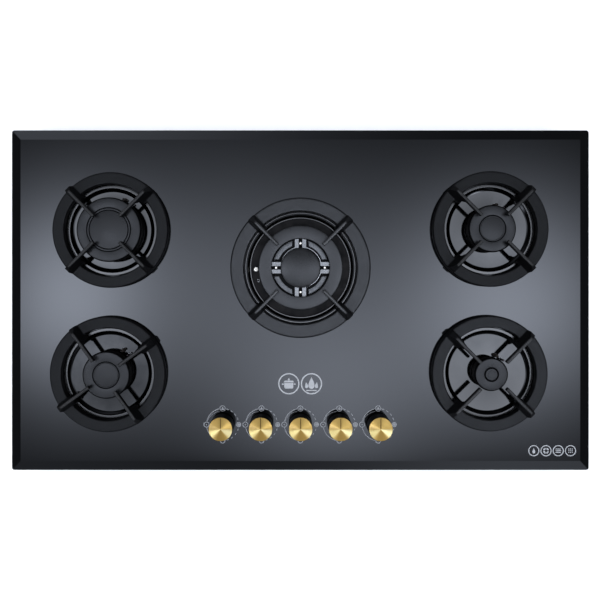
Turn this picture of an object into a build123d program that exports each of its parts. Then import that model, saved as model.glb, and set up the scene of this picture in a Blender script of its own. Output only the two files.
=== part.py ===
from build123d import *
import math
import os

# Built-in gas cooktop on glass. Millimetres, +Z up, X to the right, Y to the rear.
# Origin: middle of the glass outline, at the underside of the bottom tray (z = 0).

os.makedirs("parts", exist_ok=True)

# ---------------------------------------------------------------- driving dimensions
GLASS_X, GLASS_Y = 900.0, 530.0      # outline of the glass plate
GLASS_T = 8.0                        # glass thickness
BEVEL_W, BEVEL_D = 15.4, 4.5         # ground bevel: width on top, depth at the edge
CORNER_R = 4.5                       # glass corner radius
Z_GLASS = 66.0                       # top of the glass
Z_UNDER = Z_GLASS - GLASS_T          # underside of the glass

TRAY_X, TRAY_Y = 840.0, 476.0        # tray outside
TRAY_T = 1.0                         # sheet thickness
TRAY_FLANGE = 10.0                   # outward flange under the glass
NOTCH_X, NOTCH_Y, NOTCH_Z = 362.0, 188.0, 31.0   # raised rear right corner

SEAL_H = 3.0                         # foam strip height
SEAL_W = 7.0

# burner centres and sizes: x, y, cap radius, electrode radius, electrode angle, thermocouple angle
BURNERS = {
    "left_rear": (-292.0, 108.5, 49.3, 51.2, 67.0, 52.0),
    "left_front": (-296.0, -113.0, 36.2, 42.0, 59.0, 44.0),
    "right_rear": (292.0, 110.0, 36.2, 39.0, 75.0, 58.0),
    "right_front": (290.5, -112.0, 25.5, 29.2, 65.0, 44.0),
}
CENTRE = (0.0, 50.5, 64.0, 68.6, 182.0, 197.0)
CENTRE_HOLE = 44.4                   # inner radius of the outer ring cap
CENTRE_INNER = 30.7                  # radius of the inner cap
DUAL_OFF = 53.0                      # second mixing tube of the double burner

Z_DISH = Z_GLASS - 2.5               # spill dish floor, upper face
DISH_T = 1.0
Z_SEAT = Z_GLASS                     # burner cup rim, flame ring sits here
Z_CAP = Z_GLASS + 15.0               # underside of the caps
CAP_T = 5.0

RING_OUT, RING_IN = 89.0, 71.0       # side pan supports
RING_OUT_C, RING_IN_C = 108.0, 87.0  # centre pan support
RING_TOP = Z_GLASS + 13.0
FOOT_H = 2.0
ARM_TOP = Z_GLASS + 34.0
ARM_UNDER = Z_GLASS + 25.5
ARM_W = 5.0
ARM_BASE_W = 14.8
SUPPORT_TURN = {"left_rear": 45.0, "left_front": 36.0, "right_rear": 45.0, "right_front": 45.0}

KNOB_Y = -193.0
KNOB_PITCH = 60.4
KNOB_R_TOP, KNOB_R_BASE = 17.9, 18.3
KNOB_GAP = 4.0                       # free height under the knob
KNOB_TOP = Z_GLASS + 29.5
KNOBS = ["far_left", "left", "middle", "right", "far_right"]
STEM_R = 3.0
BORE_R = 3.1

Z_RAIL = 13.5                        # top of the rails, underside of the burner cups
Z_TUBE = 19.0                        # height of the burner gas tubes
TUBE_R = 3.0
MANI_R, MANI_RI = 7.0, 5.5
MANI_Y, MANI_Z = -211.5, 24.0
INLET_X, INLET_Y, INLET_Z = 385.0, 213.0, 44.0
THREAD_R = 10.48
Z_LEAD = 40.0
LEAD_R = 1.25
Z_CAPIL = 32.0
CAPIL_R = 0.9
GEN_Y = 190.0
GLAND_X, GLAND_Z = -150.0, 30.0


# ---------------------------------------------------------------- helpers
def cyl(r, z0, z1, x=0.0, y=0.0):
    return Pos(x, y, (z0 + z1) / 2) * Cylinder(r, z1 - z0)


def cyl_y(r, y0, y1, x, z):
    return Pos(x, (y0 + y1) / 2, z) * Rot(90, 0, 0) * Cylinder(r, y1 - y0)


def cyl_x(r, x0, x1, y, z):
    return Pos((x0 + x1) / 2, y, z) * Rot(0, 90, 0) * Cylinder(r, x1 - x0)


def block(x0, x1, y0, y1, z0, z1):
    return Pos((x0 + x1) / 2, (y0 + y1) / 2, (z0 + z1) / 2) * Box(x1 - x0, y1 - y0, z1 - z0)


def hexa(af, z0, z1, x=0.0, y=0.0, turn=0.0):
    return Pos(x, y, z0) * Rot(0, 0, turn) * extrude(RegularPolygon(af / 2, 6, major_radius=False), z1 - z0)


def profile(points):
    """Closed profile in the XZ plane from (r, z) or (r, z, corner radius)."""
    n = len(points)
    pts = [Vector(p[0], 0, p[1]) for p in points]
    rad = [p[2] if len(p) > 2 else 0.0 for p in points]
    ends = []
    edges = []
    for i in range(n):
        a, b, c = pts[i - 1], pts[i], pts[(i + 1) % n]
        if rad[i] <= 0:
            ends.append((b, b))
            continue
        u, v = (a - b).normalized(), (c - b).normalized()
        ang = math.acos(max(-1.0, min(1.0, u.dot(v))))
        d = rad[i] / math.tan(ang / 2)
        p0, p1 = b + u * d, b + v * d
        mid = (u + v).normalized()
        centre = b + mid * (rad[i] / math.sin(ang / 2))
        pm = centre - mid * rad[i]
        ends.append((p0, p1))
        edges.append(Edge.make_three_point_arc(p0, pm, p1))
    for i in range(n):
        p, q = ends[i][1], ends[(i + 1) % n][0]
        if (q - p).length > 1e-6:
            edges.append(Edge.make_line(p, q))
    return Face(Wire(edges))


def turned(points, x=0.0, y=0.0):
    return Pos(x, y, 0) * Solid.revolve(profile(points), 360, Axis.Z)


def pipe(points, radius, r, inner=0.0):
    path = FilletPolyline(*points, radius=radius)
    start = path ^ 0
    body = sweep(start * Circle(r), path)
    if inner:
        body = body - sweep(start * Circle(inner), path)
    return body


def solids_of(*shapes):
    out = []
    for s in shapes:
        if isinstance(s, (list, tuple)):
            out += solids_of(*s)
        elif isinstance(s, Solid):
            out.append(s)
        else:
            out += list(s.solids())
    return out


def save(name, *shapes):
    parts = solids_of(*shapes)
    shape = parts[0] if len(parts) == 1 else Compound(parts)
    export_step(shape, f"parts/{name}.step")


def around(cx, cy, r, deg):
    a = math.radians(deg)
    return cx + r * math.cos(a), cy + r * math.sin(a)


ALL = dict(BURNERS)
ALL["centre"] = CENTRE
KX = [(i - 2) * KNOB_PITCH for i in range(5)]

# ---------------------------------------------------------------- glass top
# sharp-edged slab with four plane bevels that meet in mitred corners
glass = Pos(0, 0, Z_UNDER) * extrude(RectangleRounded(GLASS_X, GLASS_Y, CORNER_R), GLASS_T)
SLOPE = BEVEL_D / BEVEL_W
for turn, half, length in ((0, GLASS_X / 2, GLASS_Y), (90, GLASS_Y / 2, GLASS_X),
                           (180, GLASS_X / 2, GLASS_Y), (270, GLASS_Y / 2, GLASS_X)):
    tri = [(half - BEVEL_W - 2 / SLOPE, Z_GLASS + 2), (half + 5, Z_GLASS - BEVEL_D - 5 * SLOPE),
           (half + 5, Z_GLASS + 2)]
    wedge = extrude(Plane.XZ * make_face(Polyline(*tri, close=True)), length / 2 + 5, both=True)
    glass -= Rot(0, 0, turn) * wedge
for name, b in ALL.items():
    r = 82.4 if name == "centre" else 66.2
    glass -= cyl(r, Z_UNDER - 1, Z_GLASS + 1, b[0], b[1])
for x in KX:
    glass -= cyl(5.9, Z_UNDER - 1, Z_GLASS + 1, x, KNOB_Y)
save("glass_top", glass)

# ---------------------------------------------------------------- bottom tray
hx, hy = TRAY_X / 2, TRAY_Y / 2
tray = block(-hx, hx, -hy, hy, 0, Z_UNDER - TRAY_T)
tray += block(-hx - TRAY_FLANGE, hx + TRAY_FLANGE, -hy - TRAY_FLANGE, hy + TRAY_FLANGE,
              Z_UNDER - TRAY_T, Z_UNDER)
hollow = block(-hx + 1, hx - 1, -hy + 1, hy - 1, TRAY_T, Z_UNDER + 1)
hollow -= block(NOTCH_X - 1, hx + 5, NOTCH_Y - 1, hy + 5, 0, NOTCH_Z + 1)
tray -= hollow
tray -= block(NOTCH_X, hx + 1, NOTCH_Y, hy + 1, -1, NOTCH_Z)
# stiffening beads pressed up in the floor
for sx in (-1, 1):
    for y in (-100.0, -40.0, 60.0, 130.0):
        x0, x1 = (50.0, 245.0) if sx > 0 else (-245.0, -50.0)
        tray += block(x0 - 1, x1 + 1, y - 6, y + 6, 0.5, 3.0)
        tray -= block(x0, x1, y - 5, y + 5, -1, 2.0)
# air slots in the floor near the front and in the rear wall
for i in range(8):
    for sx in (-1, 1):
        tray -= block(sx * 200 - 3 + (i - 3.5) * 16, sx * 200 + 3 + (i - 3.5) * 16, -222, -186, -1, 2)
for i in range(7):
    for x in (-330.0, 190.0):
        tray -= block(x + (i - 3) * 12 - 2.5, x + (i - 3) * 12 + 2.5, hy - 2, hy + 2, 18, 44)
tray -= cyl(10.9, NOTCH_Z - 1, NOTCH_Z + 2, INLET_X, INLET_Y)
tray -= cyl_y(5.9, hy - 3, hy + 3, GLAND_X, GLAND_Z)
CLAMPS = [(-300.0, -1), (300.0, -1), (-230.0, 1), (300.0, 1)]
for x, s in CLAMPS:
    tray -= cyl_y(2.0, s * hy - 3, s * hy + 3, x, 32.0)
save("bottom_tray", tray)

# ---------------------------------------------------------------- worktop seal
sx0, sy0 = GLASS_X / 2 - 3, GLASS_Y / 2 - 3
z0, z1 = Z_UNDER - SEAL_H, Z_UNDER
save("worktop_seal",
     block(-sx0, sx0, -sy0, -sy0 + SEAL_W, z0, z1),
     block(-sx0, sx0, sy0 - SEAL_W, sy0, z0, z1),
     block(-sx0, -sx0 + SEAL_W, -sy0 + SEAL_W, sy0 - SEAL_W, z0, z1),
     block(sx0 - SEAL_W, sx0, -sy0 + SEAL_W, sy0 - SEAL_W, z0, z1))


# ---------------------------------------------------------------- support rails in the tray
def hat_rail(x, y0, y1):
    rail = block(x - 25, x + 25, y0, y1, Z_RAIL - 1.5, Z_RAIL)
    for s in (-1, 1):
        xa, xb = sorted((x + s * 25, x + s * 23.5))
        rail += block(xa, xb, y0, y1, TRAY_T, Z_RAIL)
        xa, xb = sorted((x + s * 23.5, x + s * 35))
        rail += block(xa, xb, y0, y1, TRAY_T, TRAY_T + 1.5)
    return rail


SCREWS = []      # (x, y) of the screws that hold the cups, from below
for name, b in ALL.items():
    off = 16.0 if name == "centre" else 12.0
    SCREWS += [(b[0] - off, b[1]), (b[0] + off, b[1])]
rails = [hat_rail(-294.0, -175.0, 178.0), hat_rail(291.0, -175.0, 178.0), hat_rail(0.0, -62.0, 120.0)]
for i, r in enumerate(rails):
    for x, y in SCREWS:
        rails[i] = rails[i] - cyl(2.0, Z_RAIL - 3, Z_RAIL + 1, x, y)
saddles = []
for x in (-90.6, 90.6):
    s = block(x - 5, x + 5, MANI_Y - 11, MANI_Y + 11, TRAY_T, MANI_Z)
    s -= cyl_x(MANI_R, x - 6, x + 6, MANI_Y, MANI_Z)
    saddles.append(s)
save("support_rails", rails, saddles)


# ---------------------------------------------------------------- spill dishes
def dish(b, centre=False):
    x, y, rcap = b[0], b[1], b[2]
    hole = rcap - 3.0
    if centre:
        fl, wall_o, wall_i, floor_r = 86.0, 81.8, 81.3, 76.2
    else:
        fl, wall_o, wall_i, floor_r = 70.3, 65.6, 65.1, 60.6
    zt = Z_GLASS + DISH_T
    d = turned([(hole, Z_DISH - DISH_T), (floor_r + 0.3, Z_DISH - DISH_T, 1.6), (wall_o, Z_GLASS, 0.4),
                (fl, Z_GLASS), (fl, zt, 0.45), (wall_i, zt, 0.9), (floor_r, Z_DISH, 1.2), (hole, Z_DISH)], x, y)
    ex, ey = around(x, y, b[3], b[4])
    tx, ty = around(x, y, b[3], b[5])
    d -= cyl(3.5, Z_DISH - 3, Z_DISH + 2, ex, ey)
    d -= cyl(2.4, Z_DISH - 3, Z_DISH + 2, tx, ty)
    return d


save("spill_dishes", [dish(b, n == "centre") for n, b in ALL.items()])


# ---------------------------------------------------------------- burner cups
def cup(name, b):
    x, y, rcap = b[0], b[1], b[2]
    low = 24.0 if name == "centre" else 18.0
    cone = max(rcap - 8.0, low + 1.0)
    fl = b[3] + 6.0
    neck = rcap - 3.3
    c = turned([(0, Z_RAIL), (low, Z_RAIL, 1.0), (low, 38.0, 2.0), (cone, 57.0), (fl, 57.0, 1.0),
                (fl, Z_DISH - DISH_T), (neck, Z_DISH - DISH_T), (neck, Z_SEAT, 0.5), (0, Z_SEAT)], x, y)
    # gas inlet boss
    if name == "centre":
        c += block(x + low - 4, x + low + 8, y - 5, y + 5, Z_TUBE - 5, Z_TUBE + 5)
    else:
        c += block(x - 5, x + 5, y - low - 8, y - low + 4, Z_TUBE - 5, Z_TUBE + 5)
    c -= cyl(10.5, 23.0, Z_SEAT + 1, x, y)
    c -= cyl(4.5, 15.0, 24.0, x, y)
    if name == "centre":
        c += cyl(12.0, Z_RAIL, 57.5, x, y - DUAL_OFF)
        c += block(x - 11, x - 1, y - DUAL_OFF - 20, y - DUAL_OFF, Z_TUBE - 5, Z_TUBE + 5)
        c -= cyl(7.0, 23.0, Z_SEAT + 1, x, y - DUAL_OFF)
        c -= cyl(4.5, 15.0, 24.0, x, y - DUAL_OFF)
        c -= cyl_y(2.2, y - DUAL_OFF - 22, y - DUAL_OFF, x - 6, Z_TUBE)
        c -= block(x - 13, x + 13, y - DUAL_OFF - 3, y - DUAL_OFF + 3, 26.5, 33)
        c -= cyl_x(2.2, x, x + low + 9, y, Z_TUBE)
    else:
        c -= cyl_y(2.2, y - low - 9, y, x, Z_TUBE)
    # primary air windows
    c -= block(x - 30, x + 30, y - 4, y + 4, 27.0, 35.0)
    ex, ey = around(x, y, b[3], b[4])
    tx, ty = around(x, y, b[3], b[5])
    c -= cyl(3.2, 50.0, Z_DISH + 1, ex, ey)
    c -= cyl(1.6, 50.0, Z_DISH + 1, tx, ty)
    for sx, sy in SCREWS:
        if abs(sy - y) < 1 and abs(sx - x) < 30:
            c -= cyl(2.0, Z_RAIL - 1, 20.0, sx, sy)
    return c


save("burner_cups", [cup(n, b) for n, b in ALL.items()])


# ---------------------------------------------------------------- injectors
def injector(x, y):
    j = cyl(4.5, 15.0, 23.0, x, y) + hexa(7.0, 23.0, 25.0, x, y) + cyl(2.2, 25.0, 27.5, x, y)
    return j - cyl(0.7, 14.0, 28.0, x, y)


save("gas_injectors", [injector(b[0], b[1]) for b in ALL.values()],
     injector(CENTRE[0], CENTRE[1] - DUAL_OFF))

# ---------------------------------------------------------------- electrodes and thermocouples
electrodes, probes = [], []
EL, TC = {}, {}
for name, b in ALL.items():
    ex, ey = around(b[0], b[1], b[3], b[4])
    tx, ty = around(b[0], b[1], b[3], b[5])
    EL[name], TC[name] = (ex, ey), (tx, ty)
    e = turned([(0, 48.0), (1.2, 48.0), (1.2, 53.0), (3.2, 53.0, 0.4), (3.2, 64.0, 0.4), (2.3, 65.0),
                (2.3, 74.5, 0.8), (1.0, 75.5), (1.0, 80.0, 0.4), (0, 80.0)], ex, ey)
    electrodes.append(e)
    p = turned([(0, 48.0), (1.2, 48.0), (1.2, 52.0), (1.6, 52.5), (1.6, 78.0, 0.8), (0, 78.0)], tx, ty)
    p += hexa(7.0, 53.5, 57.0, tx, ty)
    probes.append(p)
save("spark_electrodes", electrodes)


# ---------------------------------------------------------------- gas taps
def tap(i, x):
    t = block(x - 11, x + 11, -204.5, -182, 12, 46)
    t = chamfer(t.edges().filter_by(Axis.Z), 1.5)
    t += cyl(8.0, 46, 55, x, KNOB_Y)
    t += hexa(19.0, 46, 49, x, KNOB_Y)
    t += cyl_x(6.5, x + 10, x + 33, KNOB_Y, 30.0)
    outs = (-6.0, 6.0) if i == 2 else (0.0,)
    for o in outs:
        t += cyl_y(4.6, -183, -176, x + o, Z_TUBE)
        t -= cyl_y(2.0, -190, -175, x + o, Z_TUBE)
    t -= cyl(BORE_R, 19.0, 56.0, x, KNOB_Y)
    return t


save("gas_taps", [tap(i, x) for i, x in enumerate(KX)])

# capillaries from the probes to the magnet ends of the taps
ROUTES_TC = {
    "left_front": (0, [(-200, -150), (-79, -150), (-79, -193)]),
    "left_rear": (1, [(-200, 100), (-120, -100), (-19, -140), (-19, -193)]),
    "centre": (2, [(-75, -60), (41, -120), (41, -193)]),
    "right_rear": (3, [(285, 160), (180, 100), (101.5, -100), (101.5, -193)]),
    "right_front": (4, [(285, -70), (200, -120), (162, -150), (162, -193)]),
}
capillaries = []
for name, (k, mid) in ROUTES_TC.items():
    tx, ty = TC[name]
    pts = [(tx, ty, 48.0), (tx, ty, Z_CAPIL)]
    pts += [(p[0], p[1], Z_CAPIL) for p in mid]
    pts += [(KX[k] + 33.0, KNOB_Y, Z_CAPIL)]
    capillaries.append(pipe(pts, 4.0, CAPIL_R))
save("thermocouples", probes, capillaries)

# ---------------------------------------------------------------- gas manifold
mani = pipe([(-150, MANI_Y, MANI_Z), (INLET_X, MANI_Y, MANI_Z), (INLET_X, -60, MANI_Z),
             (INLET_X, -20, INLET_Z), (INLET_X, 195, INLET_Z)], 22.0, MANI_R, MANI_RI)
plug = cyl_x(8.5, -158, -150, MANI_Y, MANI_Z)
clamps = []
for x in KX:
    c = cyl_x(9.5, x - 5, x + 5, MANI_Y, MANI_Z) - cyl_x(MANI_R, x - 6, x + 6, MANI_Y, MANI_Z)
    c -= block(x - 7, x + 7, -205.3, -190, 10, 40)
    clamps.append(c)
save("gas_manifold", mani, plug, clamps)

# ---------------------------------------------------------------- gas inlet elbow
elbow = cyl(THREAD_R, 3.0, 18.0, INLET_X, INLET_Y) + cyl(10.9, 18.0, INLET_Z, INLET_X, INLET_Y)
elbow += cyl(13.0, NOTCH_Z + 1.0, 54.0, INLET_X, INLET_Y)
elbow += cyl_y(9.5, 195.0, INLET_Y, INLET_X, INLET_Z)
elbow -= cyl(6.0, 2.0, INLET_Z, INLET_X, INLET_Y)
elbow -= cyl_y(MANI_RI, 194.0, INLET_Y, INLET_X, INLET_Z)
locknut = hexa(30.0, 24.0, NOTCH_Z, INLET_X, INLET_Y) - cyl(10.9, 20.0, 34.0, INLET_X, INLET_Y)
save("gas_inlet_elbow", elbow, locknut)

# ---------------------------------------------------------------- burner gas tubes
T0 = -176.0
lf, lr, rr, rf, ce = (BURNERS["left_front"], BURNERS["left_rear"], BURNERS["right_rear"],
                      BURNERS["right_front"], CENTRE)
ROUTES = [
    [(KX[0], T0), (KX[0], -157), (lf[0], -157), (lf[0], lf[1] - 26)],
    [(KX[1], T0), (KX[1], 0), (lr[0], 0), (lr[0], lr[1] - 26)],
    [(-6.0, T0), (-6.0, ce[1] - DUAL_OFF - 20)],
    [(6.0, T0), (6.0, -80), (50, -50), (50, ce[1]), (32, ce[1])],
    [(KX[3], T0), (KX[3], 0), (rr[0], 0), (rr[0], rr[1] - 26)],
    [(KX[4], T0), (KX[4], -157), (rf[0], -157), (rf[0], rf[1] - 26)],
]
tubes, nuts = [], []
for r in ROUTES:
    p = [(a, b, Z_TUBE) for a, b in r]
    if len(p) == 2:
        tubes.append(cyl_y(TUBE_R, p[0][1], p[1][1], p[0][0], Z_TUBE))
    else:
        tubes.append(pipe(p, 8.0, TUBE_R))
    nut = hexa(10.0, 0, 6) - cyl(TUBE_R, -1, 7)
    nuts.append(Pos(p[0][0], p[0][1] + 6.0, Z_TUBE) * Rot(90, 0, 0) * nut)
    if abs(p[-1][0] - p[-2][0]) > 1:
        nuts.append(Pos(p[-1][0], p[-1][1], Z_TUBE) * Rot(0, 90, 0) * nut)
    else:
        nuts.append(Pos(p[-1][0], p[-1][1], Z_TUBE) * Rot(90, 0, 0) * nut)
save("burner_gas_tubes", tubes, nuts)

# ---------------------------------------------------------------- ignition generator and leads
gen = block(-35, 35, GEN_Y - 20, GEN_Y + 20, TRAY_T, 28)
gen = fillet(gen.edges().filter_by(Axis.Z), 3.0)
TERM = {"left_rear": -24.0, "left_front": -12.0, "centre": 0.0, "right_front": 12.0, "right_rear": 24.0}
for x in TERM.values():
    gen += cyl(2.6, 28, 32, x, GEN_Y)
save("ignition_generator", gen)

ROUTES_L = {
    "left_rear": [(-150, 208), (-24, 208)],
    "left_front": [(-200, 0), (-150, 150), (-12, 150)],
    "centre": [(-80, 130), (0, 130)],
    "right_front": [(200, 0), (150, 150), (12, 150)],
    "right_rear": [(150, 208), (24, 208)],
}
leads = []
for name, mid in ROUTES_L.items():
    ex, ey = EL[name]
    pts = [(ex, ey, 48.0), (ex, ey, Z_LEAD)]
    pts += [(p[0], p[1], Z_LEAD) for p in mid]
    pts += [(TERM[name], GEN_Y, Z_LEAD), (TERM[name], GEN_Y, 32.0)]
    leads.append(pipe(pts, 3.6, LEAD_R))
save("ignition_leads", leads)

# ---------------------------------------------------------------- cable gland in the rear wall
gland = cyl_y(5.9, 230, 246, GLAND_X, GLAND_Z) + cyl_y(9.0, hy, hy + 5, GLAND_X, GLAND_Z)
gland += Pos(GLAND_X, hy + 12, GLAND_Z) * Rot(90, 0, 0) * Cone(6.2, 8.0, 7.0, align=(Align.CENTER, Align.CENTER, Align.MIN))
gland -= cyl_y(3.6, 229, 252, GLAND_X, GLAND_Z)
gnut = Pos(GLAND_X, hy - 1, GLAND_Z) * Rot(90, 0, 0) * (hexa(17.0, 0, 4.5) - cyl(5.9, -1, 6))
save("cable_gland", gland, gnut)

# ---------------------------------------------------------------- worktop clamps and screws
brackets, screws = [], []
for x, s in CLAMPS:
    ya, yb = sorted((s * hy, s * (hy + 2)))
    c = block(x - 11, x + 11, ya, yb, 6, 42)
    ya, yb = sorted((s * hy, s * (hy + 22)))
    c += block(x - 11, x + 11, ya, yb, 6, 8)
    ya, yb = sorted((s * (hy + 20), s * (hy + 22)))
    c += block(x - 11, x + 11, ya, yb, 6, 15)
    c -= cyl_y(2.0, s * hy - 3, s * hy + 5, x, 32.0)
    brackets.append(c)
    ya, yb = sorted((s * (hy - 6), s * (hy + 2)))
    k = cyl_y(2.0, ya, yb, x, 32.0)
    ya, yb = sorted((s * (hy + 2), s * (hy + 4.4)))
    k += cyl_y(4.0, ya, yb, x, 32.0)
    screws.append(k)
save("fixing_clamps", brackets)
for x, y in SCREWS:
    screws.append(cyl(2.0, Z_RAIL - 1.5, 20.0, x, y) + cyl(3.8, Z_RAIL - 4.0, Z_RAIL - 1.5, x, y))
save("fixing_screws", screws)

# ---------------------------------------------------------------- knob seals
seals = []
for x in KX:
    seals.append(turned([(3.6, 60.0), (5.9, 60.0), (5.9, Z_GLASS), (12.0, Z_GLASS), (12.0, Z_GLASS + 1.6, 0.7),
                         (3.6, Z_GLASS + 1.6)], x, KNOB_Y))
save("knob_seals", seals)

# ---------------------------------------------------------------- knobs, faces, spindles, push rods
KZ0 = Z_GLASS + KNOB_GAP
for name, x in zip(KNOBS, KX):
    stem = cyl(STEM_R, 40.0, 86.0, x, KNOB_Y)
    stem -= block(x - 5, x + 5, KNOB_Y + 1.9, KNOB_Y + 5, 76.0, 87.0)
    knob = turned([(0, KZ0 + 5.0), (14.2, KZ0 + 5.0, 1.0), (14.2, KZ0), (KNOB_R_BASE, KZ0, 0.6),
                   (KNOB_R_BASE, KZ0 + 1.6), (KNOB_R_TOP, KNOB_TOP - 1.2), (0, KNOB_TOP - 1.2)], x, KNOB_Y)
    knob -= stem
    face = turned([(0, KNOB_TOP - 1.2), (KNOB_R_TOP - 0.1, KNOB_TOP - 1.2), (KNOB_R_TOP - 0.1, KNOB_TOP, 0.4),
                   (0, KNOB_TOP)], x, KNOB_Y)
    face -= block(x - 0.65, x + 0.65, KNOB_Y + 1.0, KNOB_Y + 16.6, KNOB_TOP - 0.4, KNOB_TOP + 1)
    rod = cyl(2.0, 25.0, 40.0, x, KNOB_Y)
    save(f"knob_{name}", knob)
    save(f"knob_face_{name}", face)
    save(f"tap_stem_{name}", stem)
    save(f"push_rod_{name}", rod)


# ---------------------------------------------------------------- pan supports
def pan_support(cx, cy, ro, ri, tip, ridge_end, base_in, turn):
    wall = 3.5
    zb = Z_GLASS + FOOT_H
    ring = Solid.revolve(profile([
        (ri, zb), (ri + wall, zb), (ri + wall, RING_TOP - wall, 1.5), (ro - wall, RING_TOP - wall, 1.5),
        (ro - wall, zb), (ro, zb), (ro, RING_TOP, 2.6), (ri, RING_TOP, 1.2)]), 360, Axis.Z)
    section = [(-ARM_BASE_W / 2, zb), (ARM_BASE_W / 2, zb), (ARM_BASE_W / 2 - 0.3, RING_TOP),
               (2.6, ARM_TOP - 3.0), (1.75, ARM_TOP), (-1.75, ARM_TOP), (-2.6, ARM_TOP - 3.0),
               (-ARM_BASE_W / 2 + 0.3, RING_TOP)]
    wedge = extrude(Plane.YZ * make_face(Polyline(*section, close=True)), ro + 5)
    side = [(base_in, zb + 1.2), (base_in + 1, ARM_UNDER - 4), (base_in - 3, ARM_UNDER), (base_in - 3, ARM_TOP),
            (ridge_end, ARM_TOP), (ro - 0.4, ARM_TOP - 12.0), (ro - 0.4, zb), (ri + 1, zb), (ri, zb + 1.2)]
    side_f = Plane.XZ * make_face(Polyline(*side, close=True))
    wedge &= Pos(0, 10, 0) * extrude(side_f, 20)
    fs = [(-ARM_W / 2, ARM_UNDER), (ARM_W / 2, ARM_UNDER), (ARM_W / 2, ARM_TOP - 1.0), (1.75, ARM_TOP),
          (-1.75, ARM_TOP), (-ARM_W / 2, ARM_TOP - 1.0)]
    finger = extrude(Plane.YZ * make_face(Polyline(*fs, close=True)), ridge_end - 4)
    finger -= block(-1, tip, -5, 5, ARM_UNDER - 1, ARM_TOP + 1)
    arm = wedge + finger
    foot_r = (ro + ri) / 2
    body = ring
    feet = []
    for k in range(4):
        body = body + Rot(0, 0, turn + 90 * k) * arm
    for k in range(4):
        fx, fy = around(0, 0, foot_r, turn + 90 * k)
        body = body - cyl(2.2, zb - 1, zb + 3.0, fx, fy)
        feet.append(Pos(cx, cy, 0) * (cyl(5.5, Z_GLASS, zb, fx, fy) + cyl(2.2, zb, zb + 3.0, fx, fy)))
    return Pos(cx, cy, 0) * body, feet


for name, b in BURNERS.items():
    body, feet = pan_support(b[0], b[1], RING_OUT, RING_IN, 27.5, 79.5, 62.0, SUPPORT_TURN[name])
    save(f"pan_support_{name}", body)
    save(f"support_feet_{name}", feet)
body, feet = pan_support(CENTRE[0], CENTRE[1], RING_OUT_C, RING_IN_C, 48.4, 96.0, 80.0, 45.0)
save("pan_support_centre", body)
save("support_feet_centre", feet)


# ---------------------------------------------------------------- flame rings
def ports(n, r0, r1, z0, z1, w, start=0.0):
    out = []
    for i in range(n):
        a = start + 360.0 * i / n
        out.append(Rot(0, 0, a) * block(r0, r1, -w / 2, w / 2, z0, z1))
    return out


def cut_all(body, tools):
    return body.cut(*solids_of(tools))


def flame_ring(b, n):
    x, y, rc = b[0], b[1], b[2]
    ro = rc - 2.0
    ring = Solid.revolve(profile([
        (7.5, 57.0), (9.5, 57.0), (9.5, Z_SEAT), (ro + 0.8, Z_SEAT), (ro + 0.8, Z_SEAT + 1.6, 0.5),
        (ro, Z_SEAT + 2.6), (ro, Z_CAP), (ro - 3.4, Z_CAP), (ro - 3.4, Z_SEAT + 2.8, 1.0),
        (9.5, Z_SEAT + 2.8), (9.5, Z_SEAT + 6.0), (7.5, Z_SEAT + 6.0)]), 360, Axis.Z)
    tools = ports(n, ro - 6, ro + 3, Z_SEAT + 7.0, Z_SEAT + 13.5, 2.0, 180.0 / n)
    return Pos(x, y, 0) * cut_all(ring, tools)


for name, n in (("left_rear", 36), ("left_front", 28), ("right_rear", 28), ("right_front", 20)):
    save(f"flame_ring_{name}", flame_ring(BURNERS[name], n))

rc = CENTRE[2]
ro = rc - 2.0
ZV = Z_SEAT + 4.5                     # floor of the valley between the two flame rings
ring = Solid.revolve(profile([
    (7.5, 57.0), (9.5, 57.0), (9.5, Z_SEAT), (ro + 0.8, Z_SEAT), (ro + 0.8, Z_SEAT + 1.6, 0.5),
    (ro, Z_SEAT + 2.6), (ro, Z_CAP), (ro - 3.4, Z_CAP), (ro - 3.4, Z_SEAT + 2.8, 1.0),
    (48.4, Z_SEAT + 2.8, 1.0), (48.4, Z_CAP), (45.4, Z_CAP), (45.4, ZV, 0.8), (29.2, ZV, 0.8), (29.2, Z_CAP),
    (26.2, Z_CAP), (26.2, Z_SEAT + 2.8, 1.0), (9.5, Z_SEAT + 2.8), (9.5, Z_SEAT + 6.0), (7.5, Z_SEAT + 6.0)]),
    360, Axis.Z)
for k in range(4):
    bridge = block(27.0, 46.0, -8.6, 8.6, ZV - 0.5, ZV + 7.0)
    bridge -= block(20, 60, -2.75, 2.75, ZV + 2.0, ZV + 8.0)
    bridge += cyl(1.5, ZV, ZV + 7.6, 37.4, 0)
    ring = ring + Rot(0, 0, 90 * k) * bridge
ring += cyl(6.0, 58.0, Z_SEAT + 1.0, 0, -DUAL_OFF)
ring -= cyl(3.4, 57.0, Z_SEAT + 4.0, 0, -DUAL_OFF)
tools = ports(48, ro - 6, ro + 3, Z_SEAT + 7.0, Z_SEAT + 13.5, 2.0, 3.75)
tools += [p for i, p in enumerate(ports(36, 43.0, 50.0, Z_SEAT + 9.0, Z_SEAT + 13.5, 1.8, 5.0))
          if min((5.0 + 10.0 * i) % 90, 90 - (5.0 + 10.0 * i) % 90) > 14]
tools += [p for i, p in enumerate(ports(24, 24.0, 31.0, Z_SEAT + 9.0, Z_SEAT + 13.5, 1.8, 7.5))
          if min((7.5 + 15.0 * i) % 90, 90 - (7.5 + 15.0 * i) % 90) > 20]
ring = cut_all(ring, tools)
save("flame_ring_centre", Pos(CENTRE[0], CENTRE[1], 0) * ring)


# ---------------------------------------------------------------- burner caps
ZT = Z_CAP + CAP_T


def lip(r):
    return [(0, Z_CAP), (r - 8.4, Z_CAP), (r - 8.4, Z_CAP - 2.2), (r - 6.2, Z_CAP - 2.2), (r - 6.2, Z_CAP)]


def cap_rim(r):
    return [(r, Z_CAP, 0.4), (r, ZT, 1.3)]


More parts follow.
